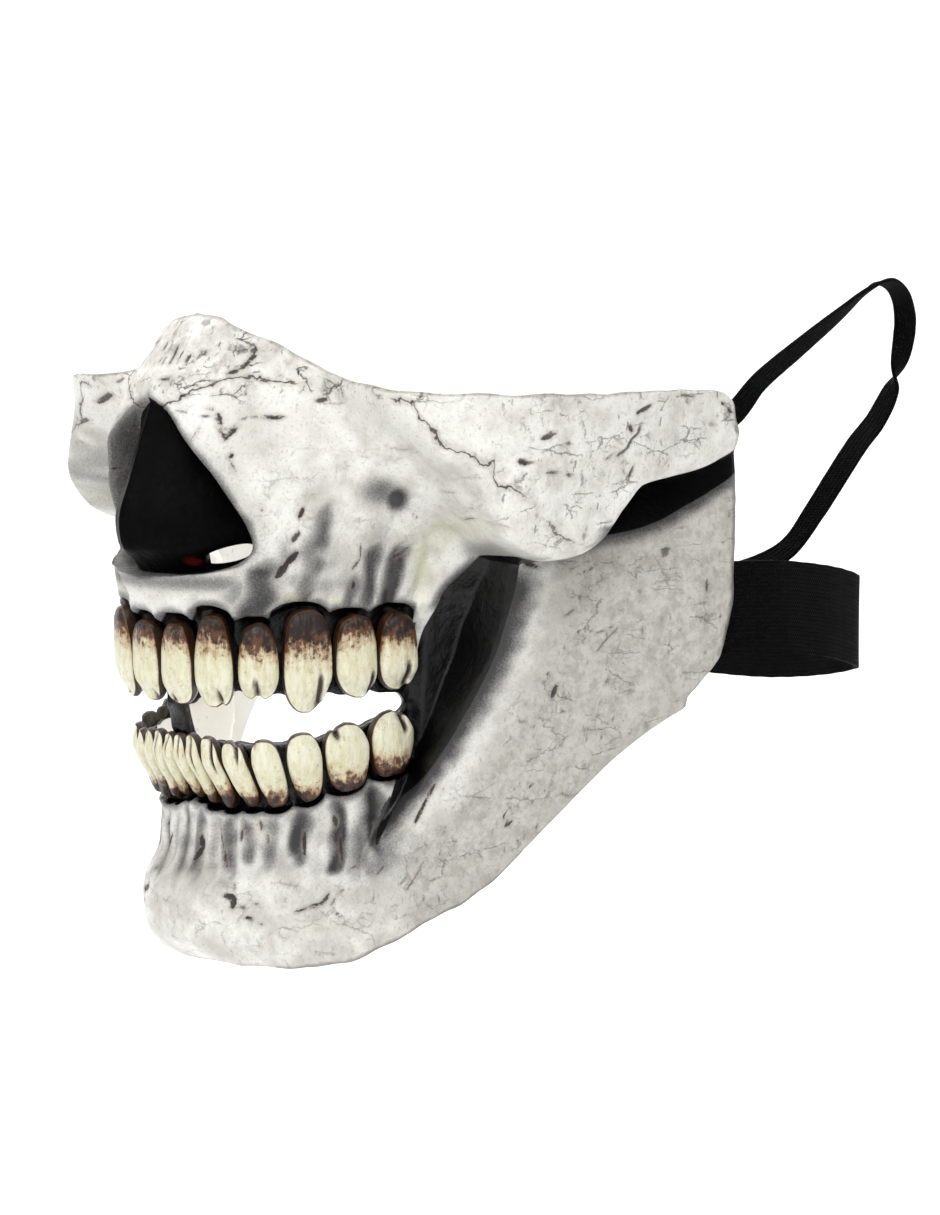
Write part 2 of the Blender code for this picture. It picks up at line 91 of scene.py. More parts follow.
# Outline of the casting: angle from the front, height
BOTTOM_EDGE = (
    (0, -105), (13, -104.5), (26, -104), (37, -102.5), (50, -98), (60, -93), (70, -88), (79, -82),
    (93, -66), (107, -48), (113, -42), (119.5, -36),
)
TOP_EDGE = (
    (0, 62), (8, 60.5), (15, 57.5), (21, 54.5), (26, 52), (31, 49.5), (36, 47.2), (41, 45.5), (48, 44),
    (60, 43.2), (85, 42.5), (112, 42), (117, 41), (119.5, 37.5),
)
BACK_EDGE = ((-38, 114.5), (-34, 116.5), (-27, 118.7), (-13, 119.5), (62, 119.5))  # height, angle
MOUTH_LOWER = ((0, -46), (15, -46.5), (28, -45.5), (40, -43), (52, -40.5), (60, -41), (90, -34), (119.5, -24))
MOUTH_UPPER = ((0, -33), (15, -33), (28, -34), (40, -34), (52, -34.5), (60, -36), (90, -28), (119.5, -19))
CHEEK_EDGE = (
    (0, -2.2), (22, -2.2), (40, 1.5), (58, 8), (65, 9), (69, 5.5), (74, 1.8), (79.5, 0), (84, 0.8), (89, 4.5),
    (93.5, 12), (97.5, 17.4), (104, 19), (112, 20.8), (119.5, 26),
)
CORE = Form(
    (0, 10, 20, 30, 40, 50, 60, 70, 80),
    (
        (62, (63, 61.5, 57, 56, 60, 66, 70, 72, 72)),
        (52, (73, 69, 61, 58, 62, 70, 75, 77, 77)),
        (43, (79.5, 75.5, 65, 60, 65, 76, 81, 82, 82)),
        (30, (80, 80.5, 69.5, 61.5, 59.5, 66, 74, 76, 76)),
        (18, (82, 80.5, 73.5, 64, 59.5, 61, 66, 68, 68)),
        (6, (83.5, 80, 72.5, 65, 58.5, 55, 54.5, 57, 60)),
        (-2, (83.5, 80, 72.8, 65, 57.5, 53, 51.5, 55, 58)),
        (-10, (79, 78, 72.5, 64.5, 56.5, 51.3, 49, 50, 53)),
        (-20, (77, 76.5, 72, 63.5, 55.5, 49.5, 46.5, 46, 48)),
        (-35, (76, 75.5, 71.5, 63, 55.5, 49, 45, 44.5, 47)),
        (-47, (73, 72, 68.5, 60.5, 53, 47.5, 43.5, 43, 46)),
        (-60, (66, 65.5, 62.5, 56.5, 51, 46.5, 44, 45, 50)),
        (-75, (67, 66, 63, 58, 54, 50.5, 50, 52, 55)),
        (-88, (72, 70.5, 67, 62, 57, 54, 53.5, 55, 57)),
        (-97, (70.5, 69, 66, 61.5, 57, 54, 54, 55, 57)),
        (-105, (60, 61, 60.5, 59, 56.5, 54, 54, 55, 57)),
    ),
)
RAMUS = Form(
    (40, 50, 60, 70, 80, 90, 100, 110, 120),
    (
        (43, (60, 60, 62, 66, 70, 74, 79, 86, 96)),
        (12, (56, 56, 58, 61, 65, 69.5, 76, 85.5, 97.5)),
        (-10, (55, 55, 57.5, 60, 64.5, 69.5, 76, 85.5, 97)),
        (-27, (55, 54.7, 56.8, 59.5, 63.3, 68.5, 75, 84.5, 95)),
        (-35, (54.5, 54.4, 56.5, 59, 63, 68, 74, 83, 92.5)),
        (-46, (53.5, 53.5, 55.8, 58.2, 62, 66.5, 72, 80, 90)),
        (-66, (53, 51.8, 53, 55.5, 59, 63, 68, 76, 86)),
        (-78, (54.4, 51.6, 52, 54, 57, 61, 65.5, 73, 81)),
        (-88, (57, 54, 53.5, 55, 57.5, 60.5, 64.5, 71, 79)),
        (-105, (56.5, 54, 54, 55, 57, 60, 64, 70, 78)),
    ),
)
RAMUS_FRONT = (
    (-105, 40), (-78, 42), (-73, 44), (-62, 54), (-52, 59.5), (-46, 63), (-33, 69), (-23, 73.5), (0, 77.5), (43, 80),
)  # height, angle
CHEEK = Form(
    (40, 50, 57, 64, 72, 80, 90, 100, 110, 120),
    (
        (43, (65, 79, 84, 87, 88.5, 88, 87.5, 88.3, 90.5, 96)),
        (36, (62.5, 75, 82.5, 86.5, 88.5, 87.8, 87.2, 88, 90.5, 97)),
        (28, (60, 69, 79.5, 86, 88.5, 87.3, 86.2, 87.5, 90.5, 97.5)),
        (18, (60, 62, 73, 84, 87.5, 86, 84.8, 86, 90, 97.5)),
        (8, (59, 58, 64, 77, 84, 84, 83.3, 84, 87, 95)),
        (-2, (58, 56, 60, 70, 78, 80.5, 80.5, 82, 85, 92)),
    ),
)
CHEEK_FRONT = ((-2, 66), (9, 66), (14, 63), (21, 60), (32, 52), (43, 44))  # height, angle
NOSE = Form(
    (0, 5, 10, 15, 22),
    (
        (42, (78, 76, 71, 66, 62)),
        (33, (80, 76.5, 70.5, 65, 61)),
        (22, (84, 80, 73, 66, 62)),
        (10, (88, 84.5, 77, 68, 62)),
        (4, (87, 83.5, 76.5, 68, 62)),
        (0, (81, 79, 73.5, 66, 60)),
        (-4, (77, 76, 71, 65, 60)),
    ),
)
NOSE_OPENING = (
    (-4, 0), (-2.2, 13), (0, 18), (4, 20.5), (9, 19.8), (18, 16.5), (30, 10.5), (37, 5.5), (41.5, 0),
)  # height, half angle
NOSE_COLUMN = (
    (-105, 15), (-20, 15), (-3, 16.5), (4, 20.5), (9, 19.8), (18, 16.5), (30, 10.5), (37, 7), (45, 6), (62, 6),
)  # height, angle
FRONT_COLUMN = (
    (-105, 52), (-78, 52), (-62, 55), (-52, 59.5), (-46, 63), (-33, 69), (-23, 73.5), (0, 77.5), (43, 80),
)
UPPER_GUM = (
    (0, -13.2), (4.3, -13.2), (12.5, -10.7), (20.1, -13.6), (28.7, -10), (38.7, -12.2), (50, -11.6), (60, -11.6),
    (90, -8), (119.5, -4),
)
LOWER_GUM = (
    (0, -62.6), (2, -62.6), (6.4, -64.1), (11, -64.6), (16, -64.1), (21.7, -64.1), (27.7, -62.6), (36.3, -60.1),
    (48.4, -57.1), (60, -57), (90, -45), (119.5, -31),
)


@dataclass(frozen=True)
class Tooth:
    """One tooth of a side.

    Args:
        near: side angle nearer the midline, in degrees.
        far: side angle farther from the midline.
        gum: height of its gum end, in millimetres.
        tip: height of its biting end.
        taper: share of its width lost at the gum end.
        point: where its biting end is longest, from -1 at the near side to 1 at the far side.
        sharp: how far the biting end falls back at its corners, in millimetres.
        cleft: place of the groove that runs up from the biting end, -1 to 1.
        cleft_length: share of the height that the groove takes.
        notch: depth of the bite out of the tip at the groove, in millimetres.
        lean: how far the biting end stands nearer the midline than the gum end, in degrees.
        stain: share of the height under brown stain.
    """

    near: float
    far: float
    gum: float
    tip: float
    taper: float = 0.3
    point: float = 0.0
    sharp: float = 0.8
    cleft: float = 0.0
    cleft_length: float = 0.3
    notch: float = 0.0
    lean: float = 0.0
    stain: float = 0.36


UPPER_TEETH = (
    Tooth(0.3, 8.4, -14.8, -36.0, 0.2, -0.1, 0.9, -0.3, 0.25, 0.0, 0.0, 0.24),
    Tooth(8.9, 16.1, -12.3, -36.2, 0.3, 0.0, 0.9, 0.15, 0.3, 1.3, 0.0, 0.3),
    Tooth(16.6, 23.6, -15.2, -34.2, 0.14, 0.0, 0.9, -0.05, 0.42, 1.7, 0.0, 0.34),
    Tooth(24.1, 33.4, -11.6, -37.8, 0.1, -0.2, 3.2, 0.3, 0.5, 0.5, 0.0, 0.38),
    Tooth(33.9, 43.6, -13.8, -35.0, 0.08, 0.3, 2.2, 0.55, 0.45, 0.5, 0.0, 0.24),
    Tooth(44.1, 57.2, -13.2, -33.6, 0.16, -0.1, 2.2, 0.35, 0.5, 0.9, 0.0, 0.34),
)
LOWER_TEETH = (
    Tooth(0.3, 3.5, -61.0, -43.6, 0.2, 0.0, 0.5, 0.2, 0.4, 0.0, 1.2, 0.26),
    Tooth(3.9, 7.3, -62.5, -43.2, 0.22, 0.1, 0.5, 0.2, 0.5, 0.0, 1.6, 0.22),
    Tooth(7.7, 11.8, -63.0, -43.6, 0.22, -0.2, 0.5, 0.35, 0.5, 0.0, 1.8, 0.34),
    Tooth(12.2, 17.1, -62.5, -44.4, 0.22, -0.1, 0.5, 0.3, 0.35, 1.6, 1.6, 0.26),
    Tooth(17.5, 23.2, -62.5, -44.0, 0.14, 0.1, 1.0, -0.5, 0.2, 0.0, 0.6, 0.28),
    Tooth(23.6, 30.6, -61.0, -42.6, 0.2, 0.1, 1.4, -0.6, 0.2, 0.0, 0.0, 0.24),
    Tooth(31.0, 41.6, -58.5, -40.6, 0.14, 0.1, 2.0, -0.45, 0.3, 1.2, 0.0, 0.26),
    Tooth(42.0, 54.8, -55.5, -38.4, 0.12, 0.1, 2.2, 0.3, 0.45, 1.0, 0.0, 0.26),
)
TOOTH_PROUD = 5.0
# From the seat to the crown: share of the turn from back to front, share of the outline, share of the height
TOOTH_SIZE = ((0.0, 0.0), (0.22, 0.86), (0.4, 1.0), (0.6, 0.955), (0.78, 0.74), (0.9, 0.42), (1.0, 0.0))
TOOTH_RISE = ((0.0, 0.0), (0.2, 0.0), (0.3, 0.1), (0.42, 0.34), (0.6, 0.74), (0.78, 0.94), (0.9, 0.99), (1.0, 1.0))

# Grooves between the roots: angle, lowest and highest height, depth, half width in millimetres, strength of the shade
GROOVES = (
    (8.6, -13, -6, 0.8, 1.3, 0.35), (16.4, -11, -3, 1.0, 1.4, 0.5), (20.2, -15, 0, 1.2, 2.2, 1.0),
    (24.0, -10, 6, 0.7, 1.6, 0.45), (29.6, -10, 14, 1.2, 2.0, 0.75), (38.6, -13, -4, 1.4, 1.7, 0.8),
    (42.5, -13, 4, 1.3, 1.8, 0.9), (48.6, -14, 3, 1.9, 2.3, 1.0), (57.0, -12, 2, 0.5, 1.6, 0.2),
    (2.2, -82, -63, 0.9, 1.4, 0.7), (6.4, -80, -66, 0.6, 1.2, 0.5), (10.6, -82, -65, 1.0, 1.3, 0.8),
    (15.4, -78, -65, 0.8, 1.3, 0.7), (20.0, -78, -65, 0.9, 1.5, 0.7), (26.3, -78, -63, 1.4, 1.8, 1.0),
    (35.4, -80, -61, 1.5, 1.9, 1.0), (45.0, -76, -58, 1.5, 2.8, 1.0),
)
CHEEK_SUTURE = (
    (48.9, 41.6), (51.6, 41.2), (53.0, 40.1), (53.3, 37.6), (54.5, 36.1), (56.0, 34.0), (56.7, 32.1), (58.5, 30.0),
    (60.0, 29.1), (61.8, 28.0), (63.3, 26.4), (64.7, 25.4), (65.5, 25.0), (65.8, 21.2), (66.7, 20.2), (68.2, 20.2),
    (69.5, 19.2), (70.2, 18.0), (71.6, 17.5),
)
LOBE_SUTURE = ((75.7, 11.5), (76.8, 9.6), (77.9, 8.2), (79.5, 6.9), (81.3, 5.6), (82.7, 5.5))
NASAL_SUTURE = (
    (1.0, 37.1), (3.6, 39.0), (6.3, 40.7), (8.7, 42.1), (9.7, 43.2), (11.2, 44.0), (12.9, 45.2), (14.2, 46.0),
    (16.2, 46.1), (18.4, 46.1), (20.4, 45.5), (24.0, 44.6), (28.0, 44.9),
)
# The black hollow between the teeth and the branch of the jaw: height and angle, along its front and its back
RECESS_FRONT = (
    (-80, 46), (-72, 45.5), (-62, 50), (-52, 53.5), (-40, 56), (-27, 58.5), (-19, 60.5), (-14, 63.5), (-9, 66.3),
    (-4, 70), (-1, 72.5), (2, 75),
)
RECESS_BACK = (
    (-80, 46), (-73, 46.2), (-69, 48), (-63, 52.2), (-58.6, 56.4), (-53, 60.4), (-46.7, 64.4), (-40.8, 67.6),
    (-34.4, 70.8), (-28, 73.6), (-22, 75.7), (-15, 77.3), (-7.8, 78.8), (2, 80.2),
)
SLOT_EDGE = ((84, 4.5), (90, 5.0), (96, 5.2), (102.3, 6.4), (106.3, 8.2), (112.4, 12.4), (117, 17), (119.5, 20.0))
FORAMEN = (51.2, 15.8)  # angle, height of the pit below the eye socket
NOSTRIL = (14.2, 2.0)
NOSTRIL_SIZE = (5.3, 1.85)  # half length, half width, in millimetres
NOSTRIL_TILT = 19.0
FAR_RIM = 2.6  # width of the grey rim inside the nasal opening on the wearer's right, in millimetres

# Marks cut or rubbed into the bone: start angle and height, end angle and height, half width, strength
STROKES = (
    (6.8, 38.1, 9.1, 37.5, 0.24, 0.5), (12.3, 39, 13.4, 38.5, 0.37, 0.8), (11.9, 36.7, 13.2, 36.8, 0.37, 0.8),
    (12.3, 34, 11.3, 30.8, 0.3, 0.6), (14.3, 37.5, 14.8, 34.3, 0.39, 1), (14.8, 34.3, 15.6, 31.8, 0.39, 1),
    (15.6, 31.8, 15.8, 30.5, 0.39, 1), (17, 34.2, 16, 31.8, 0.61, 1), (16.9, 27.3, 16.9, 26.3, 0.43, 1),
    (17.1, 25.3, 17.9, 22.8, 0.2, 0.7), (17.3, 35.7, 18.6, 36.3, 0.24, 0.6),
    (18.6, 36.3, 22.3, 36.6, 0.24, 0.6), (22.3, 36.6, 24, 36.1, 0.24, 0.6),
    (22.4, 13.7, 22.4, 13.4, 0.37, 0.8), (49, 28.8, 52.9, 28.5, 0.24, 0.4), (38.5, 36, 39, 36, 0.43, 0.7),
    (19.3, 45.3, 21.2, 45.1, 0.37, 0.9), (22.5, 46.3, 23.7, 46.3, 0.24, 0.8),
    (20.8, 36.2, 24.9, 36.1, 0.49, 1), (31.5, 40.1, 34.5, 40.7, 0.61, 0.9), (29.6, 13.6, 28.9, 11.3, 0.55, 1),
    (28.8, 7.7, 27.5, 5.4, 0.61, 0.9), (28.3, 2.5, 26.3, -0.1, 0.85, 1), (26.3, -0.1, 24.6, -3.4, 0.85, 1),
    (41.9, 4.1, 41.6, 0.2, 0.37, 0.8), (41.6, 0.2, 39.8, -2.2, 0.37, 0.8), (44.2, 2.4, 43.5, -0.5, 0.24, 0.7),
    (40.2, -5.1, 39.5, -7.5, 0.49, 1), (54.7, 2.7, 50.6, 0.4, 0.49, 0.9), (59.8, 1.5, 60.2, -0, 0.37, 0.6),
    (55, 11.8, 56.1, 10.7, 0.37, 0.7), (64.8, 11.6, 65.2, 11.1, 0.43, 0.7),
    (59.6, 18.2, 61.2, 18.2, 0.24, 0.5), (16.7, 53.6, 17.4, 51.6, 0.55, 1), (17.4, 51.6, 16.3, 49.8, 0.55, 1),
    (16.3, 49.8, 15.4, 47.6, 0.55, 1), (15.4, 47.6, 13.7, 47.2, 0.55, 1), (13.9, 53.8, 15.7, 52.2, 0.73, 0.5),
    (10.5, 54.1, 9.6, 53.3, 0.24, 0.8), (7.3, 52.4, 8.9, 51.8, 0.55, 0.9), (5.3, 51.3, 5.3, 49.9, 0.55, 0.9),
    (1.5, 53.5, 2.1, 49, 0.3, 0.9), (-2.7, 53.7, -2.3, 52.5, 0.49, 0.8), (-0.5, 50.4, -0.5, 49.8, 0.37, 0.8),
    (2.3, 45.6, 4.1, 45.9, 0.49, 0.9), (5, 48.3, 7.3, 50.8, 0.2, 0.7), (7.3, 50.8, 8.4, 52, 0.2, 0.7),
    (4.4, 45.1, 6.6, 47.1, 0.18, 0.5), (-5.1, 59.4, -4.3, 58.6, 0.37, 0.5), (3.6, 59.6, 5.7, 59.1, 0.73, 0.45),
    (-45.8, 39.1, -50.4, 36.2, 0.49, 1), (-41.9, 43.3, -43.6, 41.9, 0.37, 0.7),
    (-58.9, 32, -59.2, 30.6, 0.61, 0.9), (-55, 31.6, -57.5, 30.3, 0.61, 0.9),
    (-59.7, 25.2, -59.9, 24.4, 0.61, 0.5), (-44.5, 46, -43, 44.5, 0.61, 0.4),
    (-15.1, 22, -14.3, 22.1, 0.37, 1), (73.6, 31.9, 75, 32.4, 0.73, 0.9), (74.4, 33.4, 76.1, 33.1, 0.43, 0.8),
    (78.6, 30.7, 79, 30.6, 0.43, 0.6), (69.6, 26.7, 70.6, 25.9, 0.79, 1), (71.4, 26.1, 72.1, 26.3, 0.37, 0.6),
    (75.8, 26.1, 76, 26.1, 0.3, 0.6), (74.6, 23.6, 77.1, 23.4, 0.37, 0.8), (78.9, 22.7, 79.9, 22.4, 0.49, 0.8),
    (94.3, 37.1, 97.7, 38.8, 0.55, 0.9), (92.6, 34, 93.3, 32.6, 0.55, 0.9),
    (95.3, 33.8, 94.9, 31.9, 0.39, 0.8), (94.9, 31.9, 93.3, 30.5, 0.39, 0.8),
    (93.3, 30.5, 92.5, 28.2, 0.39, 0.8), (92.5, 28.2, 91.1, 27.2, 0.39, 0.8),
    (91.1, 27.2, 90.4, 26.6, 0.39, 0.8), (88.8, 31.6, 91.2, 29.7, 0.24, 0.6),
    (87.3, 25.7, 89.1, 27.1, 0.2, 0.6), (94.6, 23.8, 93.8, 21.2, 0.37, 0.8), (92, 23.2, 92.6, 21.9, 0.37, 0.4),
    (105.5, 41.1, 109.4, 40.2, 0.32, 0.7), (107, 40.4, 107.8, 38.4, 0.49, 0.5),
    (113.2, 33.3, 113.9, 32.5, 0.55, 0.4), (116.1, 38.4, 116.5, 37.8, 0.43, 1),
    (116.5, 37.8, 117.8, 36.5, 0.16, 0.8), (117.8, 36.5, 118.3, 35.5, 0.49, 1),
    (118.2, 33.7, 118.9, 30.1, 0.37, 0.5), (85, 3.9, 87.2, 4.7, 0.2, 0.6), (93.9, -4, 96.3, -1, 0.28, 0.7),
    (93.4, -3.7, 93.6, -4.2, 0.44, 0.8), (107.5, 1.5, 108.6, 1.6, 0.61, 0.8),
    (107.8, -0.8, 108, -1.1, 0.61, 0.7), (109.5, 1.9, 111.5, 2.7, 0.28, 0.5),
    (103.4, -3.3, 103.6, -3.6, 0.61, 0.6), (105.3, -3.4, 105.1, -4.4, 0.43, 0.7),
    (106.2, -2.6, 106.5, -2.5, 0.37, 0.4), (99.3, -0.5, 99.6, -1, 0.55, 0.5),
    (104.7, 0.1, 105.4, 0.8, 0.24, 0.5), (115.1, -7.1, 115, -10.2, 0.28, 0.8),
    (12, -84.8, 14.3, -85.4, 0.79, 1), (14.3, -85.4, 13.9, -87.7, 0.79, 1),
    (13.4, -81.9, 14, -83.1, 0.37, 0.6), (15.8, -87.1, 16.8, -88, 0.49, 0.6),
    (18.4, -86.3, 20, -87.2, 0.37, 0.6), (16.7, -90.2, 18.2, -90.6, 0.52, 1),
    (19.5, -91.5, 20.1, -91.8, 0.37, 0.8), (26.8, -88.8, 29.5, -87.6, 0.29, 1),
    (29.5, -87.6, 32.8, -86.7, 0.46, 1), (32.8, -86.6, 34, -84.6, 0.49, 0.9),
    (35.5, -89.3, 37, -90.4, 0.44, 0.7), (34.6, -87.2, 35.7, -85.3, 0.3, 0.6),
    (36.4, -84.3, 37.5, -83.4, 0.37, 0.5), (29.8, -90, 30.2, -91.3, 0.2, 0.5),
    (31.1, -89.8, 31.5, -91.1, 0.2, 0.4), (2.3, -71.5, 2.7, -74.3, 0.73, 1), (2.7, -74.3, 1, -77.3, 0.79, 1),
    (7.6, -68.1, 9.1, -73.3, 0.37, 0.9), (9.1, -73.3, 10.1, -78.2, 0.37, 0.9),
    (13.6, -68.7, 13.4, -71.5, 0.49, 0.9), (17.8, -66.3, 17.7, -68.5, 0.55, 0.8),
    (19.2, -69.4, 19.3, -72.2, 0.43, 0.6), (27.1, -69, 27.2, -75, 0.61, 1),
    (34.1, -65.5, 34.5, -67.9, 0.73, 0.9), (35.6, -70.7, 36.3, -76.7, 0.51, 1),
    (44.4, -68.1, 43.8, -70.8, 0.49, 0.6), (61.5, -57.2, 59.7, -61, 0.56, 1),
    (59.7, -61, 56.4, -67.8, 0.56, 1), (40.4, -77.8, 37.8, -79.4, 0.29, 0.6),
    (48.1, -78.1, 45.5, -80.7, 0.37, 0.5), (59.1, -77.4, 56.9, -81.1, 0.32, 0.5),
    (56.9, -81.1, 53.6, -84.7, 0.32, 0.5), (54.8, -80.6, 52.1, -83.3, 0.37, 0.5),
    (39.7, -99.5, 39.9, -99.7, 0.27, 0.7), (79.8, -0.3, 83.6, -1.9, 0.55, 1),
    (89.6, -14.9, 91.3, -13.2, 0.37, 0.5), (92.3, -18.7, 92.6, -19.4, 0.37, 0.7),
    (95.5, -19.9, 99.1, -18, 0.22, 0.6), (100, -18.4, 96.2, -24.3, 0.22, 0.5),
    (104, -11.6, 104, -12.1, 0.32, 0.7), (105.1, -16.3, 103.9, -22, 0.18, 0.4),
    (86.8, -29.2, 86.8, -29.9, 0.43, 0.8), (88.6, -32.5, 87.6, -35.7, 0.56, 0.9),
    (99.1, -31, 98.4, -33.2, 0.24, 0.5), (97.5, -40.4, 98.2, -36.8, 0.18, 0.4),
    (83.8, -43, 85, -43.4, 0.32, 0.5), (84.2, -42.2, 84.8, -44.1, 0.2, 0.5),
    (95, -44.6, 99.2, -44.6, 0.24, 0.4), (84.4, -57.8, 85.5, -59, 0.43, 0.8),
    (80.6, -63.2, 82.1, -64.3, 0.37, 0.7), (79.5, -65.3, 80.2, -68.7, 0.49, 0.9),
    (80.2, -68.7, 81.7, -67.6, 0.49, 0.9), (87.9, -68.4, 87.5, -70.2, 0.3, 0.7),
    (66.3, -52.1, 66.4, -53.6, 0.37, 0.4), (63.7, -58.6, 63.9, -58.8, 0.37, 0.4),
    (59.8, 1, 59.9, 0.5, 0.37, 0.5), (80.1, -12.3, 80.3, -12.6, 0.24, 0.6),
    (115, -15.8, 115.1, -23.1, 0.2, 0.35), (113.7, -9.8, 113.7, -10.3, 0.24, 0.4),
)


def linear(colour: str) -> tuple[float, float, float, float]:
    """A hex colour as the eye names it, turned into the linear values that shaders take."""
    channels = [int(colour[i : i + 2], 16) / 255 for i in (1, 3, 5)]
    return (*[c / 12.92 if c <= 0.04045 else ((c + 0.055) / 1.055) ** 2.4 for c in channels], 1.0)


def hermite(start: np.ndarray, end: np.ndarray, leave: np.ndarray, arrive: np.ndarray, gap: np.ndarray,
            share: np.ndarray) -> np.ndarray:
    """A cubic step from start to end.

    Args:
        start: values where the step starts.
        end: values where it ends.
        leave: slopes at the start.
        arrive: slopes at the end.
        gap: the step's length.
        share: how far along the step, 0 to 1.

    Returns:
        The values.
    """
    return (
        start * (1 + 2 * share) * (1 - share) ** 2
        + leave * gap * share * (1 - share) ** 2
        + end * share**2 * (3 - 2 * share)
        + arrive * gap * share**2 * (share - 1)
    )


def blend(places: np.ndarray, values: np.ndarray, at: np.ndarray) -> np.ndarray:
    """Cubic steps between rows of values that rise with places, with limited slopes.

    Args:
        places: where the values stand, rising.
        values: one for each place.
        at: the places wanted.

    Returns:
        A value for each place wanted.
    """
    at = np.clip(at, places[0], places[-1])
    steps = np.diff(places)
    rises = np.diff(values, axis=0) / steps[:, None]
    slopes = np.zeros_like(values)
    slopes[1:-1] = np.where(rises[1:] * rises[:-1] > 0, 2 / (1 / (rises[1:] + 1e-12) + 1 / (rises[:-1] + 1e-12)), 0)
    slopes[0] = rises[0]
    slopes[-1] = rises[-1]
    lower = np.clip(np.searchsorted(places, at, "right") - 1, 0, len(steps) - 1)
    column = np.arange(len(at)) if values.shape[1] > 1 else np.zeros(len(at), int)
    share = (at - places[lower]) / steps[lower]
    here, ahead = (lower, column), (lower + 1, column)
    return hermite(values[here], values[ahead], slopes[here], slopes[ahead], steps[lower], share)


def curve(table: tuple, at: np.ndarray) -> np.ndarray:
    """A smooth line through a table of (place, value) rows, held level past both ends."""
    places, values = np.array(table, float).T
    return blend(places, values[:, None], np.atleast_1d(np.asarray(at, float)))


def radius_of(form: Form, angle: np.ndarray, height: np.ndarray) -> np.ndarray:
    """The radius of a layer at these angles and heights.

    Args:
        form: the layer.
        angle: in degrees.
        height: in mm.

    Returns:
        The radii in mm.
    """
    rows = sorted(form.rows)
    heights = np.array([row[0] for row in rows], float)
    across = np.stack([curve(tuple(zip(form.angles, row[1])), angle) for row in rows])
    return blend(heights, across, height)


def ease(value: np.ndarray) -> np.ndarray:
    """0 below 0, 1 above 1, smooth between."""
    value = np.clip(value, 0, 1)
    return value * value * (3 - 2 * value)


def window(at: np.ndarray, start: float, full: float, full_end: float, end: float) -> np.ndarray:
    """1 between full and full_end, fading to 0 at start and end."""
    return ease((at - start) / (full - start)) * ease((end - at) / (end - full_end))


def bell(away: np.ndarray, wide: float) -> np.ndarray:
    """1 where away is 0, falling off on both sides to about a third at wide."""
    return np.exp(-((away / wide) ** 2))


def past(away: np.ndarray, wide: float) -> np.ndarray:
    """1 where away is below 0, falling off above it like a bell."""
    return bell(np.maximum(away, 0), wide)


def lumps(points: np.ndarray, size: float, seed: float) -> np.ndarray:
    """Smooth random relief from -1 to 1.

    Args:
        points: places in millimetres.
        size: width of a lump in millimetres.
        seed: moves the pattern.
    """
    scaled = points / size + seed
    return np.array([noise.noise(point) for point in scaled.tolist()])


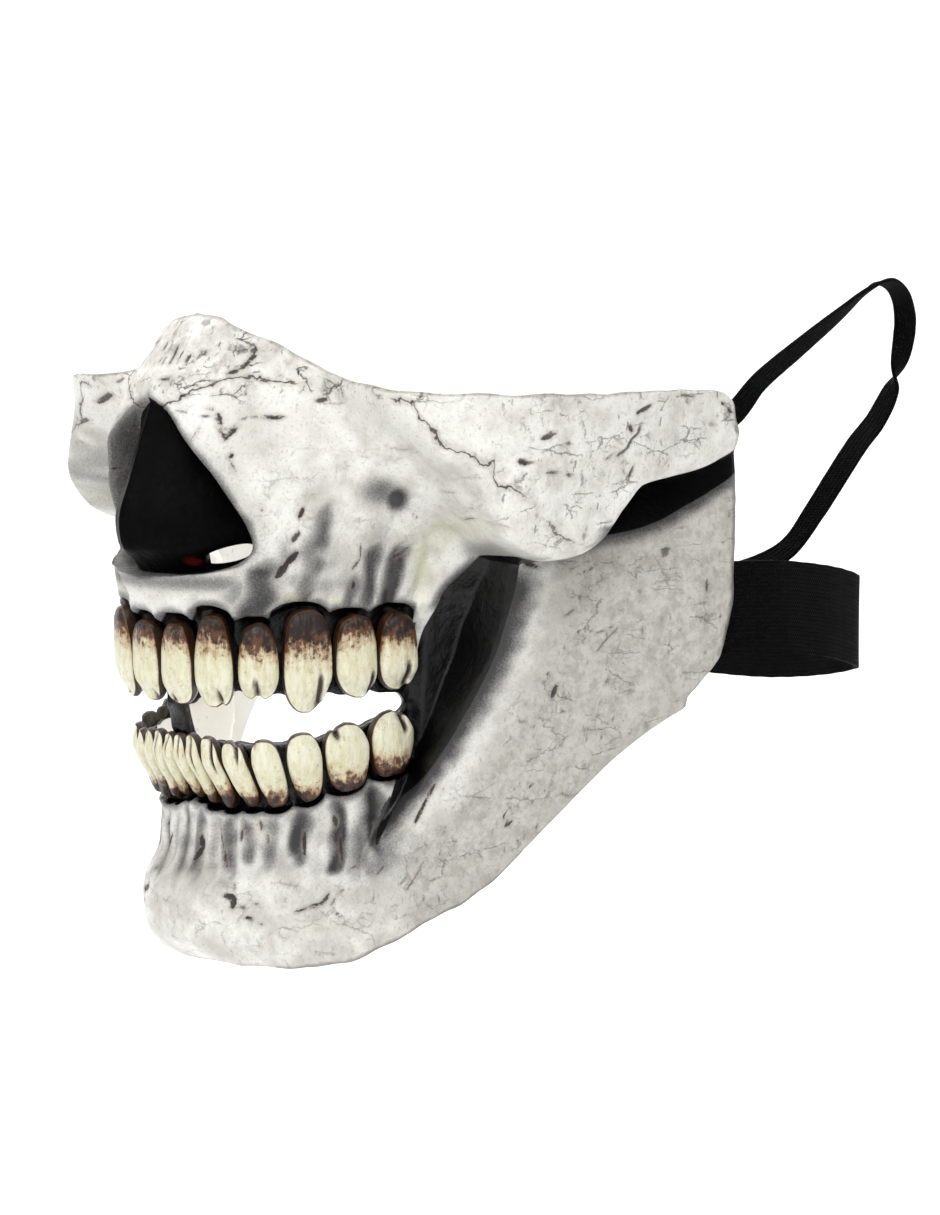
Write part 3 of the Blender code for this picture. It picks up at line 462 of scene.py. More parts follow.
class Sculpt:
    """The casting's outer surface: a radius at each angle and height, in layers that are blended."""

    def __init__(self) -> None:
        """Notes how many millimetres a degree is at each tooth."""
        self.scales = {}
        for teeth in (UPPER_TEETH, LOWER_TEETH):
            for tooth in teeth:
                middle = np.array([(tooth.near + tooth.far) / 2])
                level = np.array([(tooth.gum + tooth.tip) / 2])
                self.scales[tooth] = math.radians(float(radius_of(CORE, middle, level)[0]) - GUM_DEPTH)

    def tooth_gap(self, side: np.ndarray, height: np.ndarray) -> np.ndarray:
        """Millimetres to the outline of the nearest tooth, below 0 inside one.

        Args:
            side: in degrees.
            height: in mm.

        Returns:
            The distances.
        """
        nearest = np.full(side.shape, 99.0)
        for tooth, scale in self.scales.items():
            share = np.clip((height - tooth.gum) / (tooth.tip - tooth.gum), -0.2, 1.2)
            middle = (tooth.near + tooth.far) / 2 - tooth.lean * (share - 0.5)
            half_wide = (tooth.far - tooth.near) / 2 * scale * (1 - tooth.taper * (1 - ease(share * 1.6)))
            half_high = abs(tooth.gum - tooth.tip) / 2
            corner = 0.8 * np.minimum(half_wide, half_high)
            out = np.abs(side - middle) * scale - half_wide + corner
            up = np.abs(height - (tooth.gum + tooth.tip) / 2) - half_high + corner
            gap = np.hypot(np.maximum(out, 0), np.maximum(up, 0)) + np.minimum(np.maximum(out, up), 0) - corner
            nearest = np.minimum(nearest, gap)
        return nearest

    def gum(self, side: np.ndarray, height: np.ndarray) -> np.ndarray:
        """1 where the surface lies back as gum, 0 on bone.

        Args:
            side: in degrees.
            height: in mm.

        Returns:
            The shares.
        """
        fade = 1 - ease((side - GUM_END[0]) / (GUM_END[1] - GUM_END[0]))
        rows = ease((curve(UPPER_GUM, side) - 5.0 - height) / 2.4) * ease((height - curve(LOWER_GUM, side) - 5.0) / 2.4)
        around = ease((2.7 - self.tooth_gap(side, height)) / 1.5)
        line = ease((curve(UPPER_GUM, side) + 0.8 - height) / 1.6) * ease((height - curve(LOWER_GUM, side) + 0.8) / 1.6)
        return fade * np.maximum(rows, around * line)

    def opening(self, side: np.ndarray, height: np.ndarray) -> np.ndarray:
        """Degrees inside the edge of the nasal opening."""
        return curve(NOSE_OPENING, height) - side

    def radius(self, angle: np.ndarray, height: np.ndarray) -> np.ndarray:
        """The outer surface without its fine relief.

        Args:
            angle: in degrees.
            height: in mm.

        Returns:
            The radii in mm.
        """
        angle = np.atleast_1d(np.asarray(angle, float))
        side = np.abs(angle)
        height = np.atleast_1d(np.asarray(height, float))
        core = radius_of(CORE, side, height) + self.roots(side, height)
        core -= GUM_DEPTH * self.gum(side, height) * (1 - 0.45 * ease(side / 45))
        core += 1.8 * bell(side, 2.2) * bell(height + 0.5, 3.0)
        opening = self.opening(side, height)
        core += 0.8 * bell(opening, 1.6) * window(height, -6, -2, 34, 44)
        nose = radius_of(NOSE, side, height) + 1.1 * bell(side, 1.5) * window(height, -2, 6, 30, 40)
        core += (nose - core) * ease(opening / 2.2 + 0.15) * window(height, -4.3, -3.6, 40.4, 41.4)
        ramus = radius_of(RAMUS, side, height)
        core += (ramus - core) * ease((side - curve(RAMUS_FRONT, height)) / 3.0 + 0.5)
        edge = curve(CHEEK_EDGE, side)
        depth = ease((height - edge + 12) / 12) * ease((side - 84) / 8)
        core -= 6.5 * depth * (1 - ease((side - 110) / 9.5))
        cheek = radius_of(CHEEK, side, height) + 0.7 * bell(height - edge - 4.5, 2.6) * ease((side - 60) / 8)
        above = ease((height - edge) / (2 * EDGE_STEP) + 0.5)
        inside = ease((side - curve(CHEEK_FRONT, height)) / 6 + 0.5)
        fuller = 6.5 * bell(side - 66, 15) * bell(height - 13, 15) * (angle < 0)
        return core + (cheek + fuller - core) * above * inside

    def roots(self, side: np.ndarray, height: np.ndarray) -> np.ndarray:
        """Upright ridges over the roots of the teeth and the grooves between them.

        Args:
            side: in degrees.
            height: in mm.

        Returns:
            Millimetres of relief.
        """
        relief = np.zeros_like(height)
        for teeth, span in ((UPPER_TEETH, (-12, -9, 0, 14)), (LOWER_TEETH, (-84, -78, -68, -64))):
            strength = window(height, *span)
            for tooth in teeth:
                middle, half = (tooth.near + tooth.far) / 2, (tooth.far - tooth.near) / 2
                if teeth is UPPER_TEETH:
                    middle = middle + ROOT_LEAN * np.maximum(height - tooth.gum, 0)
                relief += 1.1 * strength * np.clip(1 - ((side - middle) / half) ** 2, -0.2, 1)
        for angle, low, high, depth, half, _ in GROOVES:
            relief -= depth * self.groove(side, height, angle, low, high, half)
        return relief

    def groove(
        self, side: np.ndarray, height: np.ndarray, angle: float, low: float, high: float, half: float
    ) -> np.ndarray:
        """Strength of one groove, from 0 to 1. Those of the upper row lean back as they rise."""
        middle = angle + (ROOT_LEAN * (height - low) if low > UPPER_FROM else 0.0)
        return bell((side - middle) * 1.15, half) * window(height, low - 3, low + 3, high - 3, high + 4)

    def surface(self, angle: np.ndarray, height: np.ndarray, out: np.ndarray | None = None) -> np.ndarray:
        """Points of the outer surface in millimetres, in the mask's own frame.

        Args:
            angle: in degrees.
            height: in mm.
            out: radii, where they are known.

        Returns:
            A row of x, y and z for each place.
        """
        angle = np.atleast_1d(np.asarray(angle, float))
        height = np.atleast_1d(np.asarray(height, float))
        out = self.radius(angle, height) if out is None else out
        turn = np.radians(angle)
        return np.stack([out * np.sin(turn), AXIS_SETBACK - DEPTH - out * np.cos(turn), height], axis=1)

    def outward(self, angle: np.ndarray, height: np.ndarray, reach: float = 0.8) -> np.ndarray:
        """Unit directions square to the surface, pointing out.

        Args:
            angle: in degrees.
            height: in mm.
            reach: half the span measured.

        Returns:
            A row of x, y and z for each place.
        """
        angle = np.atleast_1d(np.asarray(angle, float))
        height = np.atleast_1d(np.asarray(height, float))
        along = self.surface(angle + reach, height) - self.surface(angle - reach, height)
        up = self.surface(angle, height + reach) - self.surface(angle, height - reach)
        normal = np.cross(along, up)
        return normal / np.linalg.norm(normal, axis=1)[:, None]


class Openings:
    """The holes through the casting, as signed distances in millimetres, below 0 inside a hole."""

    def mouth(self, angle: np.ndarray, height: np.ndarray) -> np.ndarray:
        """The slot between the rows of teeth, one to each side of the web.

        Args:
            angle: in degrees.
            height: in mm.

        Returns:
            The distances.
        """
        side = np.abs(angle)
        upper = curve(MOUTH_UPPER, side) - 0.2 + 0.9 * self.scallop(side, UPPER_TEETH)
        lower = curve(MOUTH_LOWER, side) - 0.6 * self.scallop(side, LOWER_TEETH)
        up = np.abs(height - (upper + lower) / 2) - (upper - lower) / 2
        out = np.maximum((side - MOUTH_END) * 0.87, (WEB_ANGLE - 0.03 * (height + 46) - side) * 1.3)
        corner = np.where(side > 30, 3.0, 1.2)
        return (
            np.hypot(np.maximum(out + corner, 0), np.maximum(up + corner, 0))
            + np.minimum(np.maximum(out, up) + corner, 0)
            - corner
        )

    def scallop(self, side: np.ndarray, teeth: tuple) -> np.ndarray:
        """1 between two teeth, 0 at the middle of one.

        Args:
            side: in degrees.
            teeth: the row of teeth.

        Returns:
            The shares.
        """
        bounds = [teeth[0].near] + [tooth.far + 0.2 for tooth in teeth]
        best = np.zeros_like(side)
        for bound in bounds[1:-1]:
            best = np.maximum(best, bell(side - bound, 1.5))
        return best

    def nostrils(self, angle: np.ndarray, height: np.ndarray) -> np.ndarray:
        """The slanted ovals at the foot of the nose cover.

        Args:
            angle: in degrees.
            height: in mm.

        Returns:
            The distances.
        """
        out = (np.abs(angle) - NOSTRIL[0]) * 1.27
        up = height - NOSTRIL[1]
        turn = math.radians(NOSTRIL_TILT)
        along = (out * math.cos(turn) + up * math.sin(turn)) / NOSTRIL_SIZE[0]
        across = (up * math.cos(turn) - out * math.sin(turn)) / NOSTRIL_SIZE[1]
        return (np.hypot(along, across) - 1) * NOSTRIL_SIZE[1]

    def gap(self, angle: np.ndarray, height: np.ndarray) -> np.ndarray:
        """Distance to the nearest hole."""
        return np.minimum(self.mouth(angle, height), self.nostrils(angle, height))


def strokes_at(angle: np.ndarray, height: np.ndarray) -> tuple[np.ndarray, np.ndarray]:
    """Distance in millimetres to the edge of the nearest charted mark, and that mark's strength.

    Args:
        angle: in degrees.
        height: in mm.

    Returns:
        The distances and the strengths.
    """
    gap = np.full(angle.shape, 4.0)
    tone = np.zeros(angle.shape)
    charts = [(row, 1) for row in STROKES] + [(mirror_mark(row), -1) for row in STROKES if row[0] > 6]
    for (start, low, end, high, half, strength), hand in charts:
        ahead = np.array([(end - start) * FLAT_SCALE, high - low])
        length = float(ahead @ ahead) + 1e-6
        out = (angle * hand - start) * FLAT_SCALE
        up = height - low
        share = np.clip((out * ahead[0] + up * ahead[1]) / length, 0, 1)
        taper = 0.55 + 0.45 * np.sin(math.pi * np.clip(share, 0.05, 0.95))
        found = np.hypot(out - share * ahead[0], up - share * ahead[1]) - half * taper
        tone = np.where(found < gap, strength, tone)
        gap = np.minimum(gap, found)
    return gap, tone


def mirror_mark(row: tuple) -> tuple:
    """A mark moved and shortened a little, for the side that the first chart doesn't show.

    Args:
        row: the mark.

    Returns:
        The mark for the other side.
    """
    start, low, end, high, half, strength = row
    wander = math.sin(start * 1.7 + low * 0.9)
    drift = 2.2 * math.sin(start * 0.37 + low * 0.21)
    return (start + 2.5 * wander, low + drift, end + 1.5 * wander, high + drift - 1.2 * wander, half, strength)


def finished(shape: bmesh.types.BMesh, name: str) -> bpy.types.Object:
    """Turns a shape into a smooth object of the scene with its normals outward.

    Args:
        shape: the shape, freed here.
        name: of the object.

    Returns:
        The object.
    """
    bmesh.ops.recalc_face_normals(shape, faces=shape.faces)
    mesh = bpy.data.meshes.new(name)
    shape.to_mesh(mesh)
    shape.free()
    mesh.shade_smooth()
    made = bpy.data.objects.new(name, mesh)
    bpy.context.scene.collection.objects.link(made)
    return made


def chart(mesh: bpy.types.Mesh, fields: dict[str, np.ndarray]) -> None:
    """Writes attributes on the mesh's points: a number each, or a vector each from rows of three.

    Args:
        mesh: the mesh.
        fields: values by name.
    """
    for name, values in fields.items():
        kind, key = ("FLOAT_VECTOR", "vector") if values.ndim == 2 else ("FLOAT", "value")
        mesh.attributes.new(name, kind, "POINT").data.foreach_set(key, values.astype(np.float32).ravel())


def share_out(lines: list, counts: tuple) -> np.ndarray:
    """Rows of values evenly spaced between lines, a count of steps for each gap.

    Args:
        lines: values of each line.
        counts: steps in each gap.

    Returns:
        The rows.
    """
    rows = [lines[0]]
    for start, end, count in zip(lines, lines[1:], counts):
        rows += [start + (end - start) * step / count for step in range(1, count + 1)]
    return np.array(rows)


@dataclass
class Casting:
    """The painted latex casting: a dense outer skin and a coarser lining, joined round every edge.

    Columns and rows are counts of steps between the lines that they follow, all even.
    """

    sculpt: Sculpt
    openings: Openings
    columns: tuple = (24, 8, 34, 40, 8, 48, 26)
    rows: tuple = (44, 6, 22, 14, 26, 6, 12, 12, 62)
    column_step: float = 1.4
    column_cheek: float = 37.0
    inner_every: int = 2  # the lining takes every second row and column
    settle_rounds: int = 6  # rows and columns depend on each other, so they are found in turns
    snap_rounds: int = 12
    snap_pace: float = 0.8
    smooth_rounds: int = 3  # of the lining
    skin_reach: float = 0.5  # half the span over which the skin's direction is measured
    lining_reach: float = 3.0
    rim_fall: tuple = (0.55, 0.12)  # how far the two outermost rows are rounded in, in millimetres

    def columns_at(self, heights: np.ndarray) -> np.ndarray:
        """Angles of one side's columns at these heights.

        Args:
            heights: in mm.

        Returns:
            One row for each column.
        """
        nose, front = curve(NOSE_COLUMN, heights), curve(FRONT_COLUMN, heights)
        level, step = np.ones_like(heights), self.column_step
        lines = [
            0 * level, nose - step, nose + step, self.column_cheek * level, front - step, front + step,
            CUT_START * level, curve(BACK_EDGE, heights),
        ]
        return share_out(lines, self.columns)

    def rows_at(self, angles: np.ndarray) -> np.ndarray:
        """Heights of all rows at these angles.

        Args:
            angles: in degrees.

        Returns:
            The heights, row by row.
        """
        bottom, lower_gum, lower, upper, upper_gum, edge, top = (
            curve(table, angles)
            for table in (BOTTOM_EDGE, LOWER_GUM, MOUTH_LOWER, MOUTH_UPPER, UPPER_GUM, CHEEK_EDGE, TOP_EDGE)
        )
        lines = [
            bottom, lower_gum - GUM_STEP, lower_gum + GUM_STEP, lower, upper, upper_gum - GUM_STEP,
            upper_gum + GUM_STEP, edge - EDGE_STEP, edge + EDGE_STEP, top,
        ]
        return share_out(lines, self.rows)

    def places(self) -> tuple[np.ndarray, np.ndarray]:
        """Angle and height of each point of the skin, both as rows by columns, from right to left.

        Returns:
            The angles and the heights.
        """
        heights = np.tile(np.linspace(-90, 40, sum(self.rows) + 1)[:, None], sum(self.columns) + 1)
        for _ in range(self.settle_rounds):
            angles = np.stack([self.columns_at(row)[index] for index, row in enumerate(heights.T)], axis=1)
            heights = np.stack([self.rows_at(column)[index] for index, column in enumerate(angles)])
        right = slice(None), slice(None, 0, -1)
        return np.concatenate([-angles[right], angles], axis=1), np.concatenate([heights[right], heights], axis=1)

    def snap(self, angles: np.ndarray, heights: np.ndarray) -> tuple[np.ndarray, np.ndarray, np.ndarray]:
        """Moves the points next to a hole onto its outline.

        Args:
            angles: in degrees.
            heights: in mm.

        Returns:
            The angles, the heights, and which faces lie inside a hole.
        """
        gap = self.openings.gap(angles.ravel(), heights.ravel()).reshape(angles.shape)
        middle = (gap[1:, 1:] + gap[:-1, 1:] + gap[1:, :-1] + gap[:-1, :-1]) / 4
        hole = middle < 0
        touching = np.zeros((4, *angles.shape), bool)
        late, early = slice(1, None), slice(None, -1)
        for layer, corner in zip(touching, ((late, late), (early, late), (late, early), (early, early))):
            layer[corner] = hole
        edge = touching.any(0) & ~touching.all(0)
        spot, level = angles[edge], heights[edge]
        reach = 0.05
        for _ in range(self.snap_rounds):
            here = self.openings.gap(spot, level)
            slope_out = (self.openings.gap(spot + reach, level) - self.openings.gap(spot - reach, level)) / (2 * reach)
            slope_up = (self.openings.gap(spot, level + reach) - self.openings.gap(spot, level - reach)) / (2 * reach)
            square = slope_out**2 + slope_up**2 + 1e-6
            spot = spot - self.snap_pace * np.clip(here * slope_out / square, -0.5, 0.5)
            level = level - self.snap_pace * np.clip(here * slope_up / square, -0.5, 0.5)
        angles, heights = angles.copy(), heights.copy()
        angles[edge], heights[edge] = spot, level
        return angles, heights, hole

    def skin_radius(self, angles: np.ndarray, heights: np.ndarray) -> np.ndarray:
        """Radii of the skin with its fine relief: lumps, folds, cut marks and the pit below the eye socket.

        Args:
            angles: in degrees.
            heights: in mm.

        Returns:
            The radii in mm.
        """
        angle, height = angles.ravel(), heights.ravel()
        side = np.abs(angle)
        out = self.sculpt.radius(angle, height)
        points = self.sculpt.surface(angle, height, out)
        opening = self.sculpt.opening(side, height)
        in_nose = ease(opening / 2) * window(height, -4, -2, 38, 42)
        gum = self.sculpt.gum(side, height)
        bridge = ease((height - 34) / 12) * (1 - ease((side - 40) / 20))
        ramus = ease((side - curve(RAMUS_FRONT, height)) / 6) * (height < curve(CHEEK_EDGE, side))
        hard = 1 - in_nose
        out += 0.34 * lumps(points, 9.0, 3.1) * (0.6 + 0.8 * bridge) * hard
        out += 0.16 * lumps(points, 3.4, 7.7) * (0.7 + 1.3 * bridge + 0.5 * ramus + 1.2 * gum) * hard
        slanted = points @ np.array([[0.9, 0.1, 0.25], [0.1, 0.9, 0.2], [0.45, 0.3, -0.8]])
        out += 0.2 * lumps(slanted * (1, 1, 0.35), 3.0, 12.3) * (bridge + 0.5 * ramus)
        out += 0.5 * lumps(points, 2.6, 21.0) * gum
        web = bell(side, 3.4) * window(height, -50, -45, -34, -30)
        out += web * (0.9 * lumps(points, 2.2, 5.5) + 0.4)
        tooth_gap = self.sculpt.tooth_gap(side, height)
        collar = bell(tooth_gap - 1.25, 0.6) * ease((60 - side) / 6)
        outer = ease((height - curve(UPPER_GUM, side) + 7) / 4) + ease((curve(LOWER_GUM, side) + 7 - height) / 4)
        out += 1.1 * collar * np.clip(outer, 0, 1) * (0.75 + 0.5 * lumps(points, 2.0, 15.0))
        pit_out, pit_up = (side - FORAMEN[0]) * 1.1, height - FORAMEN[1]
        out -= 1.1 * bell(np.hypot(pit_out, pit_up), 2.1) + 0.5 * bell(pit_out + 3, 5) * bell(pit_up + 0.5, 4)
        out += 0.5 * bell(pit_out - 0.2, 0.9) * bell(pit_up - 0.2, 0.9)
        nostril = self.openings.nostrils(angle, height)
        out += 0.9 * bell(nostril - 1.6, 1.0) * (height > NOSTRIL[1] - 1) * in_nose
        fold = height - 6.6 - 0.16 * (side - 8)
        out += (0.8 * bell(fold, 1.1) - 0.7 * bell(fold + 2.2, 1.2)) * in_nose * ease((side - 5) / 4)
        gap, tone = strokes_at(angle, height)
        out -= 0.75 * tone * ease((0.35 - gap) / 0.9) * hard
        for suture, low, high in ((CHEEK_SUTURE, 48, 72), (NASAL_SUTURE, 0, 26), (LOBE_SUTURE, 75, 83)):
            out -= 0.35 * bell(height - curve(suture, side), 0.6) * window(side, low, low + 2, high - 2, high)
        return out.reshape(angles.shape)

    def rim_gap(self, shape: tuple) -> np.ndarray:
        """Steps of mesh to the outer edge of the casting at each point."""
        rows, columns = np.indices(shape)
        return np.minimum(np.minimum(rows, shape[0] - 1 - rows), np.minimum(columns, shape[1] - 1 - columns))

    def build(self) -> bpy.types.Object:
        """Makes the mesh, with the places of its points kept as attributes for the paint.

        Returns:
            The casting.
        """
        angles, heights = self.places()
        wander = self.edge_wander(angles, heights)
        heights = heights + wander
        skin_angles, skin_heights, skin_hole = self.snap(angles, heights)
        skin = self.skin_radius(skin_angles, skin_heights)
        every = self.inner_every
        inner_angles, inner_heights, inner_hole = self.snap(angles[::every, ::every], heights[::every, ::every])
        normals = self.sculpt.outward(skin_angles.ravel(), skin_heights.ravel(), self.skin_reach)
        steps = self.rim_gap(angles.shape).ravel()
        fall = np.select([steps == 0, steps == 1], self.rim_fall, 0.0)
        points = self.sculpt.surface(skin_angles.ravel(), skin_heights.ravel(), skin.ravel()) - normals * fall[:, None]
        shape = bmesh.new()
        place = shape.verts.layers.int.new("place")
        inside = self.sheet(shape, place, points, skin_hole, 0)
        inside += self.sheet(shape, place, self.lining(inner_angles, inner_heights), inner_hole, len(points))
        bmesh.ops.delete(shape, geom=inside, context="FACES")
        open_edges = [edge for edge in shape.edges if edge.is_boundary]
        inner_edges = [edge for edge in open_edges if edge.verts[0][place] >= len(points)]
        outer_edges = [edge for edge in open_edges if edge.verts[0][place] < len(points)]
        joined = []
        for loop in self.pairs(outer_edges, inner_edges):
            joined += bmesh.ops.bridge_loops(shape, edges=loop)["faces"]
        for face in shape.faces:
            if all(vertex[place] >= len(points) for vertex in face.verts):
                face.material_index = Face.LINING.value
        for face in joined:
            face.material_index = Face.RIM.value
        casting = finished(shape, "latex_casting")
        every_angle = np.concatenate([skin_angles.ravel(), inner_angles.ravel()])
        every_height = np.concatenate([skin_heights.ravel(), inner_heights.ravel()])
        self.chart_paint(casting.data, every_angle, every_height, steps)
        finishes = {Face.SKIN: PaintedBone(), Face.LINING: BareLining(), Face.RIM: CutEdge()}
        for face in Face:
            casting.data.materials.append(finishes[face].material())
        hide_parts("mask_shell")
        return casting

    def edge_wander(self, angles: np.ndarray, heights: np.ndarray) -> np.ndarray:
        """Small wanderings of the trimmed edges and of the cheekbone's lower edge, in millimetres of height.

        Args:
            angles: in degrees.
            heights: in mm.

        Returns:
            The shifts.
        """
        spots = np.stack([angles.ravel() / 6, heights.ravel() / 40, np.zeros(angles.size)], axis=1)
        wander = lumps(spots, 1.0, 31.0).reshape(angles.shape)
        near_edge = bell(heights - curve(CHEEK_EDGE, np.abs(angles).ravel()).reshape(angles.shape), 3)
        rows = np.arange(angles.shape[0])[:, None]
        near_rim = bell(rows, RIM_STEPS) + bell(angles.shape[0] - 1 - rows, RIM_STEPS)
        near_rim = near_rim * (1 - ease((np.abs(angles) - 96) / 12) * (rows < angles.shape[0] / 2))
        return wander * (0.7 * near_rim + 0.8 * near_edge * ease((np.abs(angles) - 84) / 6))

    def lining(self, angles: np.ndarray, heights: np.ndarray) -> np.ndarray:
        """Points of the smooth inner side, a wall's thickness in from the skin.

        Args:
            angles: in degrees.
            heights: in mm.

        Returns:
            The points.
        """
        out = self.sculpt.radius(angles.ravel(), heights.ravel()).reshape(angles.shape)
        for _ in range(self.smooth_rounds):
            padded = np.pad(out, 1, mode="edge")
            around = [padded[r : r + out.shape[0], c : c + out.shape[1]] for r in range(3) for c in range(3)]
            out = 0.5 * out + 0.5 * np.minimum(out, np.mean(around, axis=0))
        normals = self.sculpt.outward(angles.ravel(), heights.ravel(), self.lining_reach)
        return self.sculpt.surface(angles.ravel(), heights.ravel(), out.ravel()) - normals * WALL

    def sheet(self, shape: bmesh.types.BMesh, place: object, points: np.ndarray, hole: np.ndarray, first: int) -> list:
        """Adds one grid bent to its points, and returns its faces that lie in the holes.

        Args:
            shape: the casting so far.
            place: the layer that numbers the points.
            points: its points.
            hole: which faces are holes.
            first: the first number.

        Returns:
            Those faces.
        """
        before, faces_before = len(shape.verts), len(shape.faces)
        bmesh.ops.create_grid(shape, x_segments=hole.shape[1], y_segments=hole.shape[0], size=1)
        shape.verts.ensure_lookup_table()
        shape.faces.ensure_lookup_table()
        for index, point in enumerate((points * MM).tolist()):
            vertex = shape.verts[before + index]
            vertex.co = point
            vertex[place] = first + index
        return [shape.faces[faces_before + index] for index in np.flatnonzero(hole.ravel())]

    def pairs(self, outer: list, inner: list) -> list:
        """The open edges sorted into loops, each outer loop with the inner loop nearest to it.

        Args:
            outer: edges of the skin.
            inner: edges of the lining.

        Returns:
            The edges of each pair of loops.
        """
        groups = []
        for edges in (outer, inner):
            left, loops = set(edges), []
            while left:
                stack, loop = [left.pop()], []
                while stack:
                    edge = stack.pop()
                    loop.append(edge)
                    for vertex in edge.verts:
                        ahead = [other for other in vertex.link_edges if other in left]
                        left.difference_update(ahead)
                        stack += ahead
                loops.append(loop)
            groups.append(loops)
        centres = [
            [sum((edge.verts[0].co for edge in loop), Vector()) / len(loop) for loop in loops] for loops in groups
        ]
        matched = []
        for loop, middle in zip(groups[0], centres[0]):
            apart = [
                (near - middle).length + abs(2 * len(other) / len(loop) - 1) * 0.05
                for other, near in zip(groups[1], centres[1])
            ]
            matched.append(loop + groups[1][apart.index(min(apart))])
        return matched

    def chart_paint(self, mesh: bpy.types.Mesh, angle: np.ndarray, height: np.ndarray, steps: np.ndarray) -> None:
        """Writes the paint's attributes: where the soot, the airbrush, the marks and the sutures lie.

        Args:
            mesh: the casting.
            angle: in degrees.
            height: in mm.
            steps: rows of mesh to the rim.
        """
        place = np.empty(len(mesh.vertices), np.int32)
        mesh.attributes["place"].data.foreach_get("value", place)
        mesh.attributes.remove(mesh.attributes["place"])
        fields = Paint(self.sculpt, self.openings).fields(angle[place], height[place])
        fields["rim"] = np.concatenate([steps, np.zeros(len(angle) - len(steps))])[place].clip(0, RIM_STEPS) / RIM_STEPS
        chart(mesh, fields)


